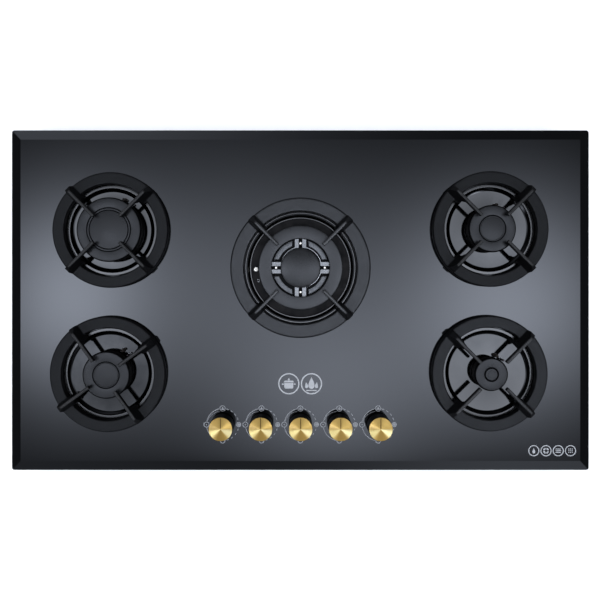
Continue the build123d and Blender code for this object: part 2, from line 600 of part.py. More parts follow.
for name, r_out, r_in in (("left_rear", 33.0, 29.5), ("left_front", 19.5, 18.0), ("right_rear", 19.5, 18.0)):
    x, y, rcap = BURNERS[name][:3]
    pts = lip(rcap) + cap_rim(rcap) + [(r_out, ZT, 0.5), (r_in, ZT - 1.1, 0.5), (0, ZT - 1.1)]
    save(f"burner_cap_{name}", turned(pts, x, y))
x, y, rcap = BURNERS["right_front"][:3]
pts = lip(rcap) + cap_rim(rcap) + [(10.5, ZT, 0.3), (10.2, ZT - 1.0), (9.3, ZT - 1.0), (9.0, ZT + 0.1),
                                   (8.4, ZT + 0.5, 0.3), (0, ZT + 0.5)]
save("burner_cap_right_front", turned(pts, x, y))

# centre: outer ring cap and inner cap
x, y, rcap = CENTRE[:3]
pts = [(CENTRE_HOLE, Z_CAP, 0.3), (49.0, Z_CAP), (49.0, Z_CAP - 2.2), (51.0, Z_CAP - 2.2), (51.0, Z_CAP),
       (rcap, Z_CAP, 0.4), (rcap, ZT, 1.3), (CENTRE_HOLE, ZT, 1.0)]
save("burner_cap_centre_outer", turned(pts, x, y))
pts = [(0, Z_CAP), (23.4, Z_CAP), (23.4, Z_CAP - 2.2), (25.6, Z_CAP - 2.2), (25.6, Z_CAP), (CENTRE_INNER, Z_CAP, 0.4),
       (CENTRE_INNER, ZT - 0.6, 1.6), (26.0, ZT + 0.2, 3.0), (16.0, ZT + 0.7), (8.0, ZT + 0.95), (0, ZT + 1.05)]
save("burner_cap_centre_inner", turned(pts, x, y))

print("nodes written:", len([f for f in os.listdir("parts") if f.endswith(".step")]))
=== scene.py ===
import math

import bmesh
import bpy
import numpy as np
from mathutils import Matrix, Vector, noise


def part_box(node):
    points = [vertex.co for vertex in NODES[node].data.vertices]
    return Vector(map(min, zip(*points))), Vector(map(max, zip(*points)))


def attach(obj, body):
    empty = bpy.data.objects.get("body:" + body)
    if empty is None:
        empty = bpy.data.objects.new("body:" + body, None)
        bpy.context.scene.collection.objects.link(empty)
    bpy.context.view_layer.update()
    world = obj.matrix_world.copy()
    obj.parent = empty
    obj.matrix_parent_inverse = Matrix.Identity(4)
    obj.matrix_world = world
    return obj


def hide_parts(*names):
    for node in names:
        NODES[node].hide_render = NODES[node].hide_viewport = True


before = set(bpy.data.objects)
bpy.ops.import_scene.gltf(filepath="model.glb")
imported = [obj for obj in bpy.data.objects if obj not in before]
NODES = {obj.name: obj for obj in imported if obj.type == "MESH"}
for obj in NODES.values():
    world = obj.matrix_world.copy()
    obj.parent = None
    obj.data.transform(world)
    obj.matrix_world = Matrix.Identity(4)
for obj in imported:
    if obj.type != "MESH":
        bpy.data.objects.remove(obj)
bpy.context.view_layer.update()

MM = 0.001

# ------------------------------------------------------------------ sizes shared with the frame (mm)
Z_GLASS = 66.0
BURNERS = {
    "left_rear": (-292.0, 108.5, 49.3, 51.2, 67.0, 52.0),
    "left_front": (-296.0, -113.0, 36.2, 42.0, 59.0, 44.0),
    "right_rear": (292.0, 110.0, 36.2, 39.0, 75.0, 58.0),
    "right_front": (290.5, -112.0, 25.5, 29.2, 65.0, 44.0),
    "centre": (0.0, 50.5, 64.0, 68.6, 182.0, 197.0),
}
KNOB_Y = -193.0
KNOBS = ["far_left", "left", "middle", "right", "far_right"]
KX = [(i - 2) * 60.4 for i in range(5)]


# ------------------------------------------------------------------ node materials
class Mat:
    """A principled material with short calls for procedural detail in object space."""

    def __init__(self, name, color, rough, metal=0.0, ior=1.5, spec=0.5):
        self.m = bpy.data.materials.new(name)
        self.m.use_nodes = True
        self.nt = self.m.node_tree
        self.b = next(x for x in self.nt.nodes if x.type == "BSDF_PRINCIPLED")
        self.b.inputs["Base Color"].default_value = (*color, 1)
        self.b.inputs["Roughness"].default_value = rough
        self.b.inputs["Metallic"].default_value = metal
        self.b.inputs["IOR"].default_value = ior
        self.b.inputs["Specular IOR Level"].default_value = spec
        self.color, self.rough = color, rough
        self.tc = self.nt.nodes.new("ShaderNodeTexCoord")
        self.obj = self.tc.outputs["Object"]
        self.normal = None

    def node(self, kind, **props):
        n = self.nt.nodes.new(kind)
        for k, v in props.items():
            setattr(n, k, v)
        return n

    def put(self, socket, value):
        if isinstance(value, bpy.types.NodeSocket):
            self.nt.links.new(value, socket)
        else:
            socket.default_value = value

    def math(self, op, a, b=None, c=None, clamp=False):
        n = self.node("ShaderNodeMath", operation=op, use_clamp=clamp)
        for i, v in enumerate((a, b, c)):
            if v is not None:
                self.put(n.inputs[i], v)
        return n.outputs[0]

    def stretch(self, sx=1.0, sy=1.0, sz=1.0, rz=0.0):
        n = self.node("ShaderNodeMapping")
        self.put(n.inputs["Vector"], self.obj)
        n.inputs["Scale"].default_value = (sx, sy, sz)
        n.inputs["Rotation"].default_value = (0, 0, rz)
        return n.outputs[0]

    def noise(self, scale, detail=3.0, rough=0.5, vec=None, distortion=0.0):
        n = self.node("ShaderNodeTexNoise")
        self.put(n.inputs["Vector"], vec or self.obj)
        n.inputs["Scale"].default_value = scale
        n.inputs["Detail"].default_value = detail
        n.inputs["Roughness"].default_value = rough
        n.inputs["Distortion"].default_value = distortion
        return n.outputs["Fac"]

    def voronoi(self, scale, feature="F1", vec=None, out="Distance", randomness=1.0):
        n = self.node("ShaderNodeTexVoronoi", feature=feature)
        self.put(n.inputs["Vector"], vec or self.obj)
        n.inputs["Scale"].default_value = scale
        n.inputs["Randomness"].default_value = randomness
        return n.outputs[out]

    def remap(self, sock, a, b, c, d, smooth=False):
        n = self.node("ShaderNodeMapRange")
        if smooth:
            n.interpolation_type = "SMOOTHSTEP"
        self.put(n.inputs[0], sock)
        for i, v in enumerate((a, b, c, d)):
            n.inputs[i + 1].default_value = v
        return n.outputs[0]

    def mix(self, fac, a, b):
        n = self.node("ShaderNodeMix", data_type="RGBA")
        self.put(n.inputs[0], fac)
        ins = [s for s in n.inputs if s.type == "RGBA"]
        for s, v in zip(ins, (a, b)):
            if isinstance(v, tuple):
                v = (*v, 1) if len(v) == 3 else v
            self.put(s, v)
        return next(s for s in n.outputs if s.type == "RGBA")

    def xyz(self, vec=None):
        n = self.node("ShaderNodeSeparateXYZ")
        self.put(n.inputs[0], vec or self.obj)
        return n.outputs

    def radius(self, cx, cy):
        """Distance from a vertical axis, in metres."""
        x, y, _ = self.xyz()
        dx = self.math("SUBTRACT", x, cx * MM)
        dy = self.math("SUBTRACT", y, cy * MM)
        s = self.math("ADD", self.math("MULTIPLY", dx, dx), self.math("MULTIPLY", dy, dy))
        return self.math("SQRT", s)

    def nearest_radius(self, centres):
        out = None
        for cx, cy in centres:
            r = self.radius(cx, cy)
            out = r if out is None else self.math("MINIMUM", out, r)
        return out

    def rings(self, r, scale, detail=2.0):
        """Random concentric rings from a radius."""
        c = self.node("ShaderNodeCombineXYZ")
        self.put(c.inputs[0], r)
        return self.noise(scale, detail, 0.6, vec=c.outputs[0])

    def bump(self, height, distance, strength=1.0):
        n = self.node("ShaderNodeBump")
        self.put(n.inputs["Height"], height)
        n.inputs["Distance"].default_value = distance
        n.inputs["Strength"].default_value = strength
        if self.normal is not None:
            self.put(n.inputs["Normal"], self.normal)
        self.normal = n.outputs["Normal"]
        self.put(self.b.inputs["Normal"], self.normal)
        return self.normal

    def base(self, sock):
        self.put(self.b.inputs["Base Color"], sock)

    def roughness(self, sock):
        self.put(self.b.inputs["Roughness"], sock)


MATS = {}


def black_glass():
    k = Mat("black_glass_look", (0.0010, 0.0011, 0.0012), 0.05, ior=1.52)
    x, y, z = k.xyz()
    smear = k.noise(7.0, 3.0, 0.55, distortion=0.6)
    haze = k.noise(60.0, 2.0, 0.5)
    top = k.remap(k.math("ADD", smear, k.math("MULTIPLY", haze, 0.25)), 0.35, 0.85, 0.035, 0.065)
    flank = k.remap(z, 0.0650, 0.0659, 1.0, 0.0)
    k.roughness(k.math("ADD", top, k.math("MULTIPLY", flank, 0.05)))
    edge = k.remap(z, 0.0614, 0.0618, 1.0, 0.0)
    k.base(k.mix(edge, (0.0010, 0.0011, 0.0012), (0.006, 0.018, 0.016)))
    k.bump(k.noise(4.0, 1.0, 0.4), 0.00006)
    return k.m


def dish_steel():
    """Pressed dish of a side burner: dark polished floor with painted light and shade by position, its sloped side
    painted black as shade, and a satin rim painted lighter as a highlight.
    """
    k = Mat("dish_steel_look", (0.065, 0.064, 0.062), 0.07, metal=1.0)
    r = k.nearest_radius([(b[0], b[1]) for n, b in BURNERS.items() if n != "centre"])
    lines = k.rings(r, 2600.0, 3.0)
    mottled = k.noise(55.0, 3.0, 0.55)
    grain = k.noise(1500.0, 2.0, 0.5)
    x, y, z = k.xyz()
    # painted light and shade: each floor is lighter towards its outer side in y, and the left front floor is darker
    floor_painted_light_by_y = k.remap(k.math("ABSOLUTE", y), 0.055, 0.165, 0.0, 1.0)
    floor = k.mix(floor_painted_light_by_y, (0.036, 0.036, 0.0355), (0.060, 0.059, 0.057))
    left_front_painted_shade = k.math("MULTIPLY", k.remap(x, -0.05, 0.05, 1.0, 0.0), k.remap(y, -0.02, 0.02, 1.0, 0.0))
    floor = k.mix(left_front_painted_shade, floor, (0.026, 0.0262, 0.0262))
    floor = k.mix(k.remap(mottled, 0.3, 0.75, 0.0, 0.25), floor, (0.068, 0.066, 0.063))
    # painted shade: from r 59.6 mm out to the rim the dish is painted near black
    wall_painted_shade = k.remap(r, 0.0596, 0.0604, 0.0, 1.0)
    # painted highlight: the rim takes a lighter tone than the floor for its bright line; the added roughness is its
    # satin finish
    rim = k.remap(r, 0.0650, 0.0655, 0.0, 1.0)
    k.base(k.mix(rim, k.mix(wall_painted_shade, floor, (0.012, 0.012, 0.012)),
                 k.mix(k.remap(lines, 0.3, 0.7, 0.0, 1.0), (0.056, 0.055, 0.053), (0.082, 0.080, 0.077))))
    k.roughness(k.math("ADD", k.remap(mottled, 0.3, 0.75, 0.05, 0.09), k.math("MULTIPLY", rim, 0.14)))
    k.bump(lines, 0.000003)
    k.bump(grain, 0.000002)
    return k.m


def dish_centre():
    """Pressed dish of the middle burner: near-black floor, with two fine bright beads on the rim and a bright foot line
    painted as highlights.
    """
    k = Mat("dish_centre_look", (0.012, 0.012, 0.012), 0.22, metal=1.0)
    cx, cy = BURNERS["centre"][:2]
    r = k.radius(cx, cy)
    mottled = k.noise(48.0, 3.0, 0.6)
    lines = k.rings(r, 2600.0, 3.0)
    # painted highlights: the rim's edges and the foot step take lighter tones, the flat rim top between them stays dark
    rim = k.remap(r, 0.0801, 0.0804, 0.0, 1.0)
    floor = k.mix(k.remap(mottled, 0.35, 0.7, 0.0, 1.0), (0.0040, 0.0040, 0.0040), (0.0105, 0.0098, 0.0094))
    flat = k.math("MULTIPLY", k.remap(r, 0.0816, 0.0818, 0.0, 1.0), k.remap(r, 0.0842, 0.0844, 1.0, 0.0))
    bead_painted_highlight = k.mix(k.remap(lines, 0.3, 0.7, 0.0, 1.0), (0.11, 0.107, 0.103), (0.16, 0.155, 0.15))
    foot = k.math("MULTIPLY", k.remap(r, 0.0765, 0.0767, 0.0, 1.0), k.remap(r, 0.0780, 0.0783, 1.0, 0.0))
    k.base(k.mix(rim, k.mix(foot, floor, (0.10, 0.097, 0.094)), k.mix(flat, bead_painted_highlight, (0.014, 0.014, 0.014))))
    k.roughness(k.remap(mottled, 0.3, 0.7, 0.16, 0.28))
    k.bump(k.noise(700.0, 2.0, 0.5), 0.000006)
    return k.m


def cast_iron(name="cast_iron_look", spec=0.37, r0=0.46, r1=0.62):
    k = Mat(name, (0.0030, 0.0032, 0.0034), 0.55, ior=1.5, spec=spec)
    fine = k.noise(1100.0, 4.0, 0.65)
    lumps = k.noise(260.0, 2.0, 0.5)
    pits = k.remap(k.voronoi(620.0), 0.06, 0.30, 0.0, 1.0)
    mottled = k.noise(70.0, 3.0, 0.6)
    x, y, z = k.xyz()
    # painted highlight and wear: the finger tops above z 99 mm are painted lighter as a highlight, with wear polish in
    # the roughness
    top_highlight_and_wear = k.math("MULTIPLY", k.remap(z, 0.0990, 0.0998, 0.0, 1.0), k.remap(mottled, 0.25, 0.6, 0.5, 1.0))
    body = k.mix(k.remap(mottled, 0.3, 0.7, 0.0, 1.0), (0.0022, 0.0024, 0.0026), (0.0042, 0.0044, 0.0046))
    # painted shade: the finger sides and the walls below z 78.7 mm get a near-black metallic tone
    arm_sides_painted_shade = k.math("MULTIPLY", k.remap(z, 0.0796, 0.0802, 0.0, 1.0), k.remap(z, 0.0984, 0.0990, 1.0, 0.0))
    flank = k.math("MAXIMUM", arm_sides_painted_shade, k.remap(z, 0.0785, 0.0789, 1.0, 0.0))
    k.base(k.mix(flank, k.mix(top_highlight_and_wear, body, (0.016, 0.016, 0.016)), (0.009, 0.009, 0.0095)))
    k.put(k.b.inputs["Metallic"], k.math("MULTIPLY", flank, 0.85))
    k.roughness(k.math("SUBTRACT", k.remap(k.math("ADD", fine, mottled), 0.7, 1.3, r0, r1),
                       k.math("MULTIPLY", top_highlight_and_wear, 0.16)))
    k.bump(lumps, 0.00008)
    k.bump(fine, 0.00005)
    k.bump(pits, 0.00003, 0.7)
    return k.m


def cap_enamel(name="cap_enamel_look", r0=0.27, r1=0.37, spec=0.34, groove=0.0850):
    k = Mat(name, (0.0035, 0.0037, 0.0040), 0.33, ior=1.5, spec=spec)
    peel = k.noise(420.0, 2.0, 0.45)
    grit = k.noise(1700.0, 2.0, 0.6)
    mottled = k.noise(45.0, 3.0, 0.55)
    speck = k.remap(k.voronoi(900.0), 0.02, 0.09, 1.0, 0.0)
    body = k.mix(k.remap(mottled, 0.3, 0.7, 0.0, 1.0), (0.0028, 0.0030, 0.0033), (0.0048, 0.0050, 0.0054))
    x, y, z = k.xyz()
    # painted shade: below the groove level, in the grooves and on the low edge band, the enamel is a near-black
    # metallic tone
    groove_and_edge_painted_shade = k.remap(z, groove - 0.0002, groove + 0.0002, 1.0, 0.0)
    k.base(k.mix(groove_and_edge_painted_shade, k.mix(k.math("MULTIPLY", speck, 0.30), body, (0.030, 0.030, 0.031)), (0.004, 0.004, 0.004)))
    k.put(k.b.inputs["Metallic"], groove_and_edge_painted_shade)
    k.roughness(k.math("ADD", k.remap(k.math("ADD", mottled, grit), 0.75, 1.25, r0, r1), k.math("MULTIPLY", groove_and_edge_painted_shade, 0.3)))
    k.bump(peel, 0.00003)
    k.bump(grit, 0.000010)
    return k.m


def crown_dark():
    k = Mat("crown_dark_look", (0.014, 0.0135, 0.013), 0.5, metal=0.85)
    cast = k.noise(900.0, 3.0, 0.6)
    heat = k.noise(35.0, 3.0, 0.6)
    k.base(k.mix(k.remap(heat, 0.3, 0.7, 0.0, 1.0), (0.010, 0.0098, 0.0098), (0.024, 0.022, 0.020)))
    k.roughness(k.remap(cast, 0.3, 0.7, 0.42, 0.60))
    k.bump(cast, 0.00006)
    return k.m


def crown_aluminium():
    k = Mat("crown_aluminium_look", (0.30, 0.30, 0.295), 0.36, metal=1.0)
    cx, cy = BURNERS["centre"][:2]
    r = k.radius(cx, cy)
    turned = k.rings(r, 3000.0, 3.0)
    cast = k.noise(1000.0, 3.0, 0.6)
    sand = k.noise(620.0, 3.0, 0.7)
    stain = k.noise(70.0, 3.0, 0.6)
    x, y, z = k.xyz()
    # painted light and shade: the aluminium tone steps with height, near black on the valley floor, grey on the arcs
    # and lighter on the bridges; beyond r 49.4 mm it is near black
    inner = k.remap(r, 0.0488, 0.0494, 1.0, 0.0)
    upper_painted_light = k.remap(z, 0.0745, 0.0758, 0.0, 1.0)
    low = k.remap(z, 0.0707, 0.0711, 1.0, 0.0)
    cast_grey = k.mix(k.remap(k.math("ADD", stain, sand), 0.7, 1.35, 0.0, 1.0), (0.072, 0.073, 0.073), (0.175, 0.176, 0.176))
    bright = k.mix(k.remap(k.math("ADD", stain, sand), 0.7, 1.35, 0.0, 1.0), (0.13, 0.13, 0.128), (0.28, 0.28, 0.276))
    seen = k.mix(low, k.mix(upper_painted_light, cast_grey, bright), (0.006, 0.006, 0.006))
    dx = k.math("ABSOLUTE", k.math("SUBTRACT", x, cx * MM))
    dy = k.math("ABSOLUTE", k.math("SUBTRACT", y, cy * MM))
    # painted shade in the bridge slots, and a painted highlight, white and not metallic, on the pin tops in them
    slot = k.math("MULTIPLY", k.remap(k.math("MINIMUM", dx, dy), 0.00276, 0.00284, 1.0, 0.0),
                  k.math("MULTIPLY", k.remap(r, 0.0292, 0.0294, 0.0, 1.0), k.remap(r, 0.0452, 0.0454, 1.0, 0.0)))
    stud_painted_highlight = k.math("MULTIPLY", slot, k.remap(z, 0.0777, 0.0779, 0.0, 1.0))
    lip = k.math("MULTIPLY", k.remap(r, 0.0334, 0.0336, 1.0, 0.0),
                 k.math("MULTIPLY", k.remap(z, 0.0761, 0.0765, 0.0, 1.0), k.remap(z, 0.0769, 0.0771, 1.0, 0.0)))
    seen = k.mix(lip, seen, (0.60, 0.60, 0.59))
    seen = k.mix(stud_painted_highlight, k.mix(slot, seen, (0.004, 0.004, 0.004)), (0.88, 0.87, 0.85))
    k.base(k.mix(inner, (0.012, 0.0118, 0.0115), seen))
    k.put(k.b.inputs["Metallic"], k.math("SUBTRACT", 1.0, stud_painted_highlight))
    k.roughness(k.math("ADD", k.remap(stain, 0.3, 0.7, 0.30, 0.42), k.math("MULTIPLY", upper_painted_light, -0.08)))
    k.bump(turned, 0.00001)
    k.bump(sand, 0.00010)
    k.bump(cast, 0.00003)
    return k.m


def knob_brass():
    k = Mat("knob_brass_look", (0.55, 0.385, 0.125), 0.34, metal=1.0)
    r = k.nearest_radius([(x, KNOB_Y) for x in KX])
    fine = k.rings(r, 5200.0, 3.0)
    coarse = k.rings(r, 1300.0, 2.0)
    tone = k.noise(160.0, 2.0, 0.5)
    x, y, z = k.xyz()
    dx = k.math("SUBTRACT", x, k.math("MULTIPLY", k.math("ROUND", k.math("DIVIDE", x, 0.0604)), 0.0604))
    dy = k.math("SUBTRACT", y, KNOB_Y * MM)
    safe = k.math("MAXIMUM", r, 0.0002)

    def painted_fan_sector(deg, wide, narrow):
        """1 along a direction of the face, fading to 0 over the angles narrow to wide; it paints the fan of highlight
        and shade.
        """
        c, q = math.cos(math.radians(deg)), math.sin(math.radians(deg))
        dot = k.math("DIVIDE", k.math("ADD", k.math("MULTIPLY", dx, c), k.math("MULTIPLY", dy, q)), safe)
        return k.remap(dot, math.cos(math.radians(wide)), math.cos(math.radians(narrow)), 0.0, 1.0, True)

    # painted highlight and shade: a fan of light and dark sectors in the face colour, which turns with the knob
    face = k.mix(painted_fan_sector(112, 46, 14), (0.56, 0.365, 0.105), (0.47, 0.30, 0.085))
    face = k.mix(painted_fan_sector(276, 42, 20), face, (0.38, 0.230, 0.055))
    face = k.mix(painted_fan_sector(166, 20, 5), face, (0.64, 0.43, 0.15))
    face = k.mix(painted_fan_sector(208, 30, 10), face, (0.78, 0.62, 0.25))
    face = k.mix(painted_fan_sector(336, 30, 9), face, (0.84, 0.70, 0.34))
    face = k.mix(k.remap(k.math("ADD", k.math("MULTIPLY", fine, 0.6), k.math("MULTIPLY", tone, 0.4)), 0.35, 0.65,
                         0.0, 0.30), face, (0.36, 0.225, 0.060))
    # painted shade: below z 95.2 mm, in the cut, the brass is a much darker tone
    cut = k.remap(z, 0.09518, 0.09542, 1.0, 0.0)
    k.base(k.mix(cut, face, (0.12, 0.078, 0.024)))
    k.roughness(k.remap(k.math("ADD", fine, coarse), 0.7, 1.3, 0.31, 0.37))
    k.bump(coarse, 0.000002)
    k.b.inputs["Anisotropic"].default_value = 0.95
    k.b.inputs["Anisotropic Rotation"].default_value = 0.25
    t = k.node("ShaderNodeTangent", direction_type="RADIAL", axis="Z")
    k.put(k.b.inputs["Tangent"], t.outputs[0])
    return k.m


def knob_black():
    k = Mat("knob_black_look", (0.0015, 0.0015, 0.0017), 0.42, ior=1.45, spec=0.04)
    fine = k.noise(2200.0, 2.0, 0.5)
    soft = k.noise(120.0, 2.0, 0.5)
    k.roughness(k.remap(k.math("ADD", fine, soft), 0.7, 1.3, 0.36, 0.48))
    k.base(k.mix(soft, (0.0012, 0.0012, 0.0014), (0.0022, 0.0022, 0.0024)))
    k.bump(fine, 0.00001)
    return k.m


def black_silicone():
    k = Mat("black_silicone_look", (0.003, 0.003, 0.003), 0.55, ior=1.42, spec=0.2)
    fine = k.noise(1600.0, 2.0, 0.5)
    dust = k.noise(90.0, 3.0, 0.6)
    k.base(k.mix(k.remap(dust, 0.35, 0.75, 0.0, 1.0), (0.002, 0.002, 0.002), (0.005, 0.005, 0.0052)))
    k.roughness(k.remap(fine, 0.3, 0.7, 0.48, 0.62))
    k.bump(fine, 0.00002)
    return k.m


def white_ceramic():
    k = Mat("white_ceramic_look", (0.86, 0.85, 0.82), 0.22, ior=1.52, spec=0.3)
    x, y, z = k.xyz()
    cx, cy = BURNERS["centre"][:2]
    foot = k.remap(z, 0.0530, 0.0532, 1.0, 0.0)
    tip = k.remap(z, 0.0777, 0.0779, 0.0, 1.0)
    metal = k.math("MAXIMUM", foot, tip)
    soot = k.math("MULTIPLY", k.remap(z, 0.068, 0.0755, 0.0, 0.18), k.remap(k.noise(500.0, 3.0, 0.6), 0.4, 0.7, 0.0, 1.0))
    body = k.mix(soot, (0.88, 0.87, 0.84), (0.45, 0.40, 0.34))
    # painted shade: on the side burners the ceramic above z 61 mm and its tip are painted near black
    side_electrode_painted_shade = k.math("MULTIPLY", k.remap(k.radius(cx, cy), 0.10, 0.11, 0.0, 1.0), k.remap(z, 0.0600, 0.0610, 0.0, 1.0))
    body = k.mix(side_electrode_painted_shade, body, (0.020, 0.017, 0.015))
    k.base(k.mix(metal, body, k.mix(side_electrode_painted_shade, (0.30, 0.28, 0.26), (0.035, 0.032, 0.030))))
    k.put(k.b.inputs["Metallic"], metal)
    k.roughness(k.math("ADD", k.remap(k.noise(900.0, 2.0, 0.5), 0.3, 0.7, 0.18, 0.32), k.math("MULTIPLY", side_electrode_painted_shade, 0.22)))
    k.bump(k.noise(1300.0, 2.0, 0.5), 0.00001)
    return k.m


def copper():
    k = Mat("probe_copper_look", (0.70, 0.36, 0.22), 0.36, metal=1.0)
    x, y, z = k.xyz()
    steel = k.remap(z, 0.0520, 0.0535, 0.0, 1.0)
    stain = k.noise(240.0, 3.0, 0.6)
    cu = k.mix(k.remap(stain, 0.35, 0.7, 0.0, 1.0), (0.72, 0.38, 0.24), (0.42, 0.20, 0.13))
    # painted shade: the probe steel is a dark tone down in the hole, darker still towards the tip
    st = k.mix(k.remap(z, 0.062, 0.070, 0.0, 1.0), (0.12, 0.115, 0.11), (0.030, 0.024, 0.026))
    k.base(k.mix(steel, cu, st))
    k.roughness(k.remap(stain, 0.3, 0.7, 0.28, 0.48))
    k.bump(k.noise(1500.0, 2.0, 0.5), 0.00001)
    return k.m


def sheet_zinc(name, lo, hi, r0, r1):
    """Galvanised sheet: overlapping spangle flakes, with rolled lines."""
    k = Mat(name, lo, 0.45, metal=1.0)
    warped = k.node("ShaderNodeVectorMath", operation="ADD")
    k.put(warped.inputs[0], k.obj)
    wob = k.node("ShaderNodeTexNoise")
    k.put(wob.inputs["Vector"], k.obj)
    wob.inputs["Scale"].default_value = 60.0
    sc = k.node("ShaderNodeVectorMath", operation="SCALE")
    k.put(sc.inputs[0], wob.outputs["Color"])
    sc.inputs["Scale"].default_value = 0.012
    k.put(warped.inputs[1], sc.outputs[0])
    cell = k.node("ShaderNodeTexVoronoi", feature="F1")
    k.put(cell.inputs["Vector"], warped.outputs[0])
    cell.inputs["Scale"].default_value = 85.0
    one = k.node("ShaderNodeSeparateColor")
    k.put(one.inputs[0], cell.outputs["Color"])
    flake = one.outputs[0]
    rolled = k.noise(40.0, 3.0, 0.6, vec=k.stretch(0.6, 12.0, 12.0))
    k.base(k.mix(k.math("ADD", k.math("MULTIPLY", flake, 0.75), k.math("MULTIPLY", rolled, 0.25)), lo, hi))
    k.roughness(k.math("ADD", k.remap(flake, 0.0, 1.0, r0, r1), k.math("MULTIPLY", rolled, 0.08)))
    k.bump(cell.outputs["Distance"], 0.00003, 0.5)
    k.bump(rolled, 0.00002)
    return k.m


def turned_brass():
    k = Mat("fitting_brass_look", (0.70, 0.51, 0.22), 0.34, metal=1.0)
    stain = k.noise(180.0, 3.0, 0.6)
    tool = k.noise(900.0, 2.0, 0.6, vec=k.stretch(0.3, 3.0, 3.0))
    k.base(k.mix(k.remap(stain, 0.3, 0.75, 0.0, 1.0), (0.74, 0.55, 0.26), (0.50, 0.34, 0.14)))
    k.roughness(k.remap(k.math("ADD", stain, tool), 0.7, 1.3, 0.26, 0.46))
    k.bump(tool, 0.00002)
    return k.m


def tube_aluminium():
    k = Mat("tube_aluminium_look", (0.74, 0.74, 0.74), 0.34, metal=1.0)
    drawn = k.noise(500.0, 3.0, 0.6)
    dull = k.noise(60.0, 3.0, 0.6)
    k.base(k.mix(k.remap(dull, 0.3, 0.7, 0.0, 1.0), (0.66, 0.66, 0.66), (0.80, 0.80, 0.80)))
    k.roughness(k.remap(k.math("ADD", drawn, dull), 0.7, 1.3, 0.28, 0.44))
    k.bump(drawn, 0.00001)
    return k.m


def cast_aluminium():
    k = Mat("cast_aluminium_look", (0.55, 0.55, 0.54), 0.5, metal=1.0)
    grain = k.noise(900.0, 4.0, 0.65)
    flow = k.noise(70.0, 3.0, 0.6)
    k.base(k.mix(k.remap(flow, 0.3, 0.7, 0.0, 1.0), (0.45, 0.45, 0.44), (0.62, 0.62, 0.61)))
    k.roughness(k.remap(grain, 0.3, 0.7, 0.42, 0.60))
    k.bump(grain, 0.00005)
    return k.m


def black_plastic():
    k = Mat("black_plastic_look", (0.014, 0.014, 0.015), 0.5, ior=1.48)
    spark = k.voronoi(1500.0)
    soft = k.noise(80.0, 2.0, 0.5)
    k.base(k.mix(soft, (0.011, 0.011, 0.012), (0.020, 0.020, 0.021)))
    k.roughness(k.remap(spark, 0.1, 0.6, 0.42, 0.58))
    k.bump(spark, 0.00003)
    return k.m


def lead_silicone():
    k = Mat("lead_silicone_look", (0.42, 0.07, 0.045), 0.5, ior=1.42)
    soft = k.noise(200.0, 2.0, 0.5)
    k.base(k.mix(soft, (0.36, 0.055, 0.035), (0.48, 0.085, 0.055)))
    k.roughness(k.remap(soft, 0.3, 0.7, 0.44, 0.58))
    k.bump(k.noise(1500.0, 2.0, 0.5), 0.00001)
    return k.m


def foam():
    k = Mat("foam_look", (0.018, 0.018, 0.019), 0.9, ior=1.4)
    cell = k.voronoi(1300.0)
    big = k.voronoi(520.0)
    k.base(k.mix(k.remap(cell, 0.1, 0.5, 0.0, 1.0), (0.030, 0.030, 0.031), (0.009, 0.009, 0.009)))
    k.roughness(k.remap(cell, 0.0, 0.6, 0.82, 0.97))
    k.bump(cell, 0.0003)
    k.bump(big, 0.0002, 0.6)
    return k.m


def spindle_steel():
    k = Mat("spindle_steel_look", (0.56, 0.56, 0.55), 0.28, metal=1.0)
    drawn = k.noise(700.0, 3.0, 0.6, vec=k.stretch(1.0, 1.0, 6.0))
    k.base(k.mix(drawn, (0.48, 0.48, 0.47), (0.62, 0.62, 0.61)))
    k.roughness(k.remap(drawn, 0.3, 0.7, 0.22, 0.36))
    k.bump(drawn, 0.00001)
    return k.m


def zinc_steel():
    k = Mat("zinc_steel_look", (0.62, 0.62, 0.63), 0.34, metal=1.0)
    cloud = k.noise(160.0, 3.0, 0.6)
    k.base(k.mix(k.remap(cloud, 0.3, 0.7, 0.0, 1.0), (0.54, 0.55, 0.58), (0.70, 0.69, 0.66)))
    k.roughness(k.remap(cloud, 0.3, 0.7, 0.28, 0.44))
    k.bump(k.noise(1300.0, 2.0, 0.5), 0.00001)
    return k.m


def print_ink(name="print_ink_look", lo=(0.170, 0.177, 0.190), hi=(0.225, 0.233, 0.248)):
    k = Mat(name, lo, 0.38, ior=1.5)
    grain = k.noise(2600.0, 2.0, 0.6)
    cover = k.noise(300.0, 2.0, 0.5)
    k.base(k.mix(k.remap(cover, 0.3, 0.7, 0.0, 1.0), lo, hi))
    k.roughness(k.remap(grain, 0.3, 0.7, 0.32, 0.46))
    k.bump(grain, 0.000006)
    return k.m


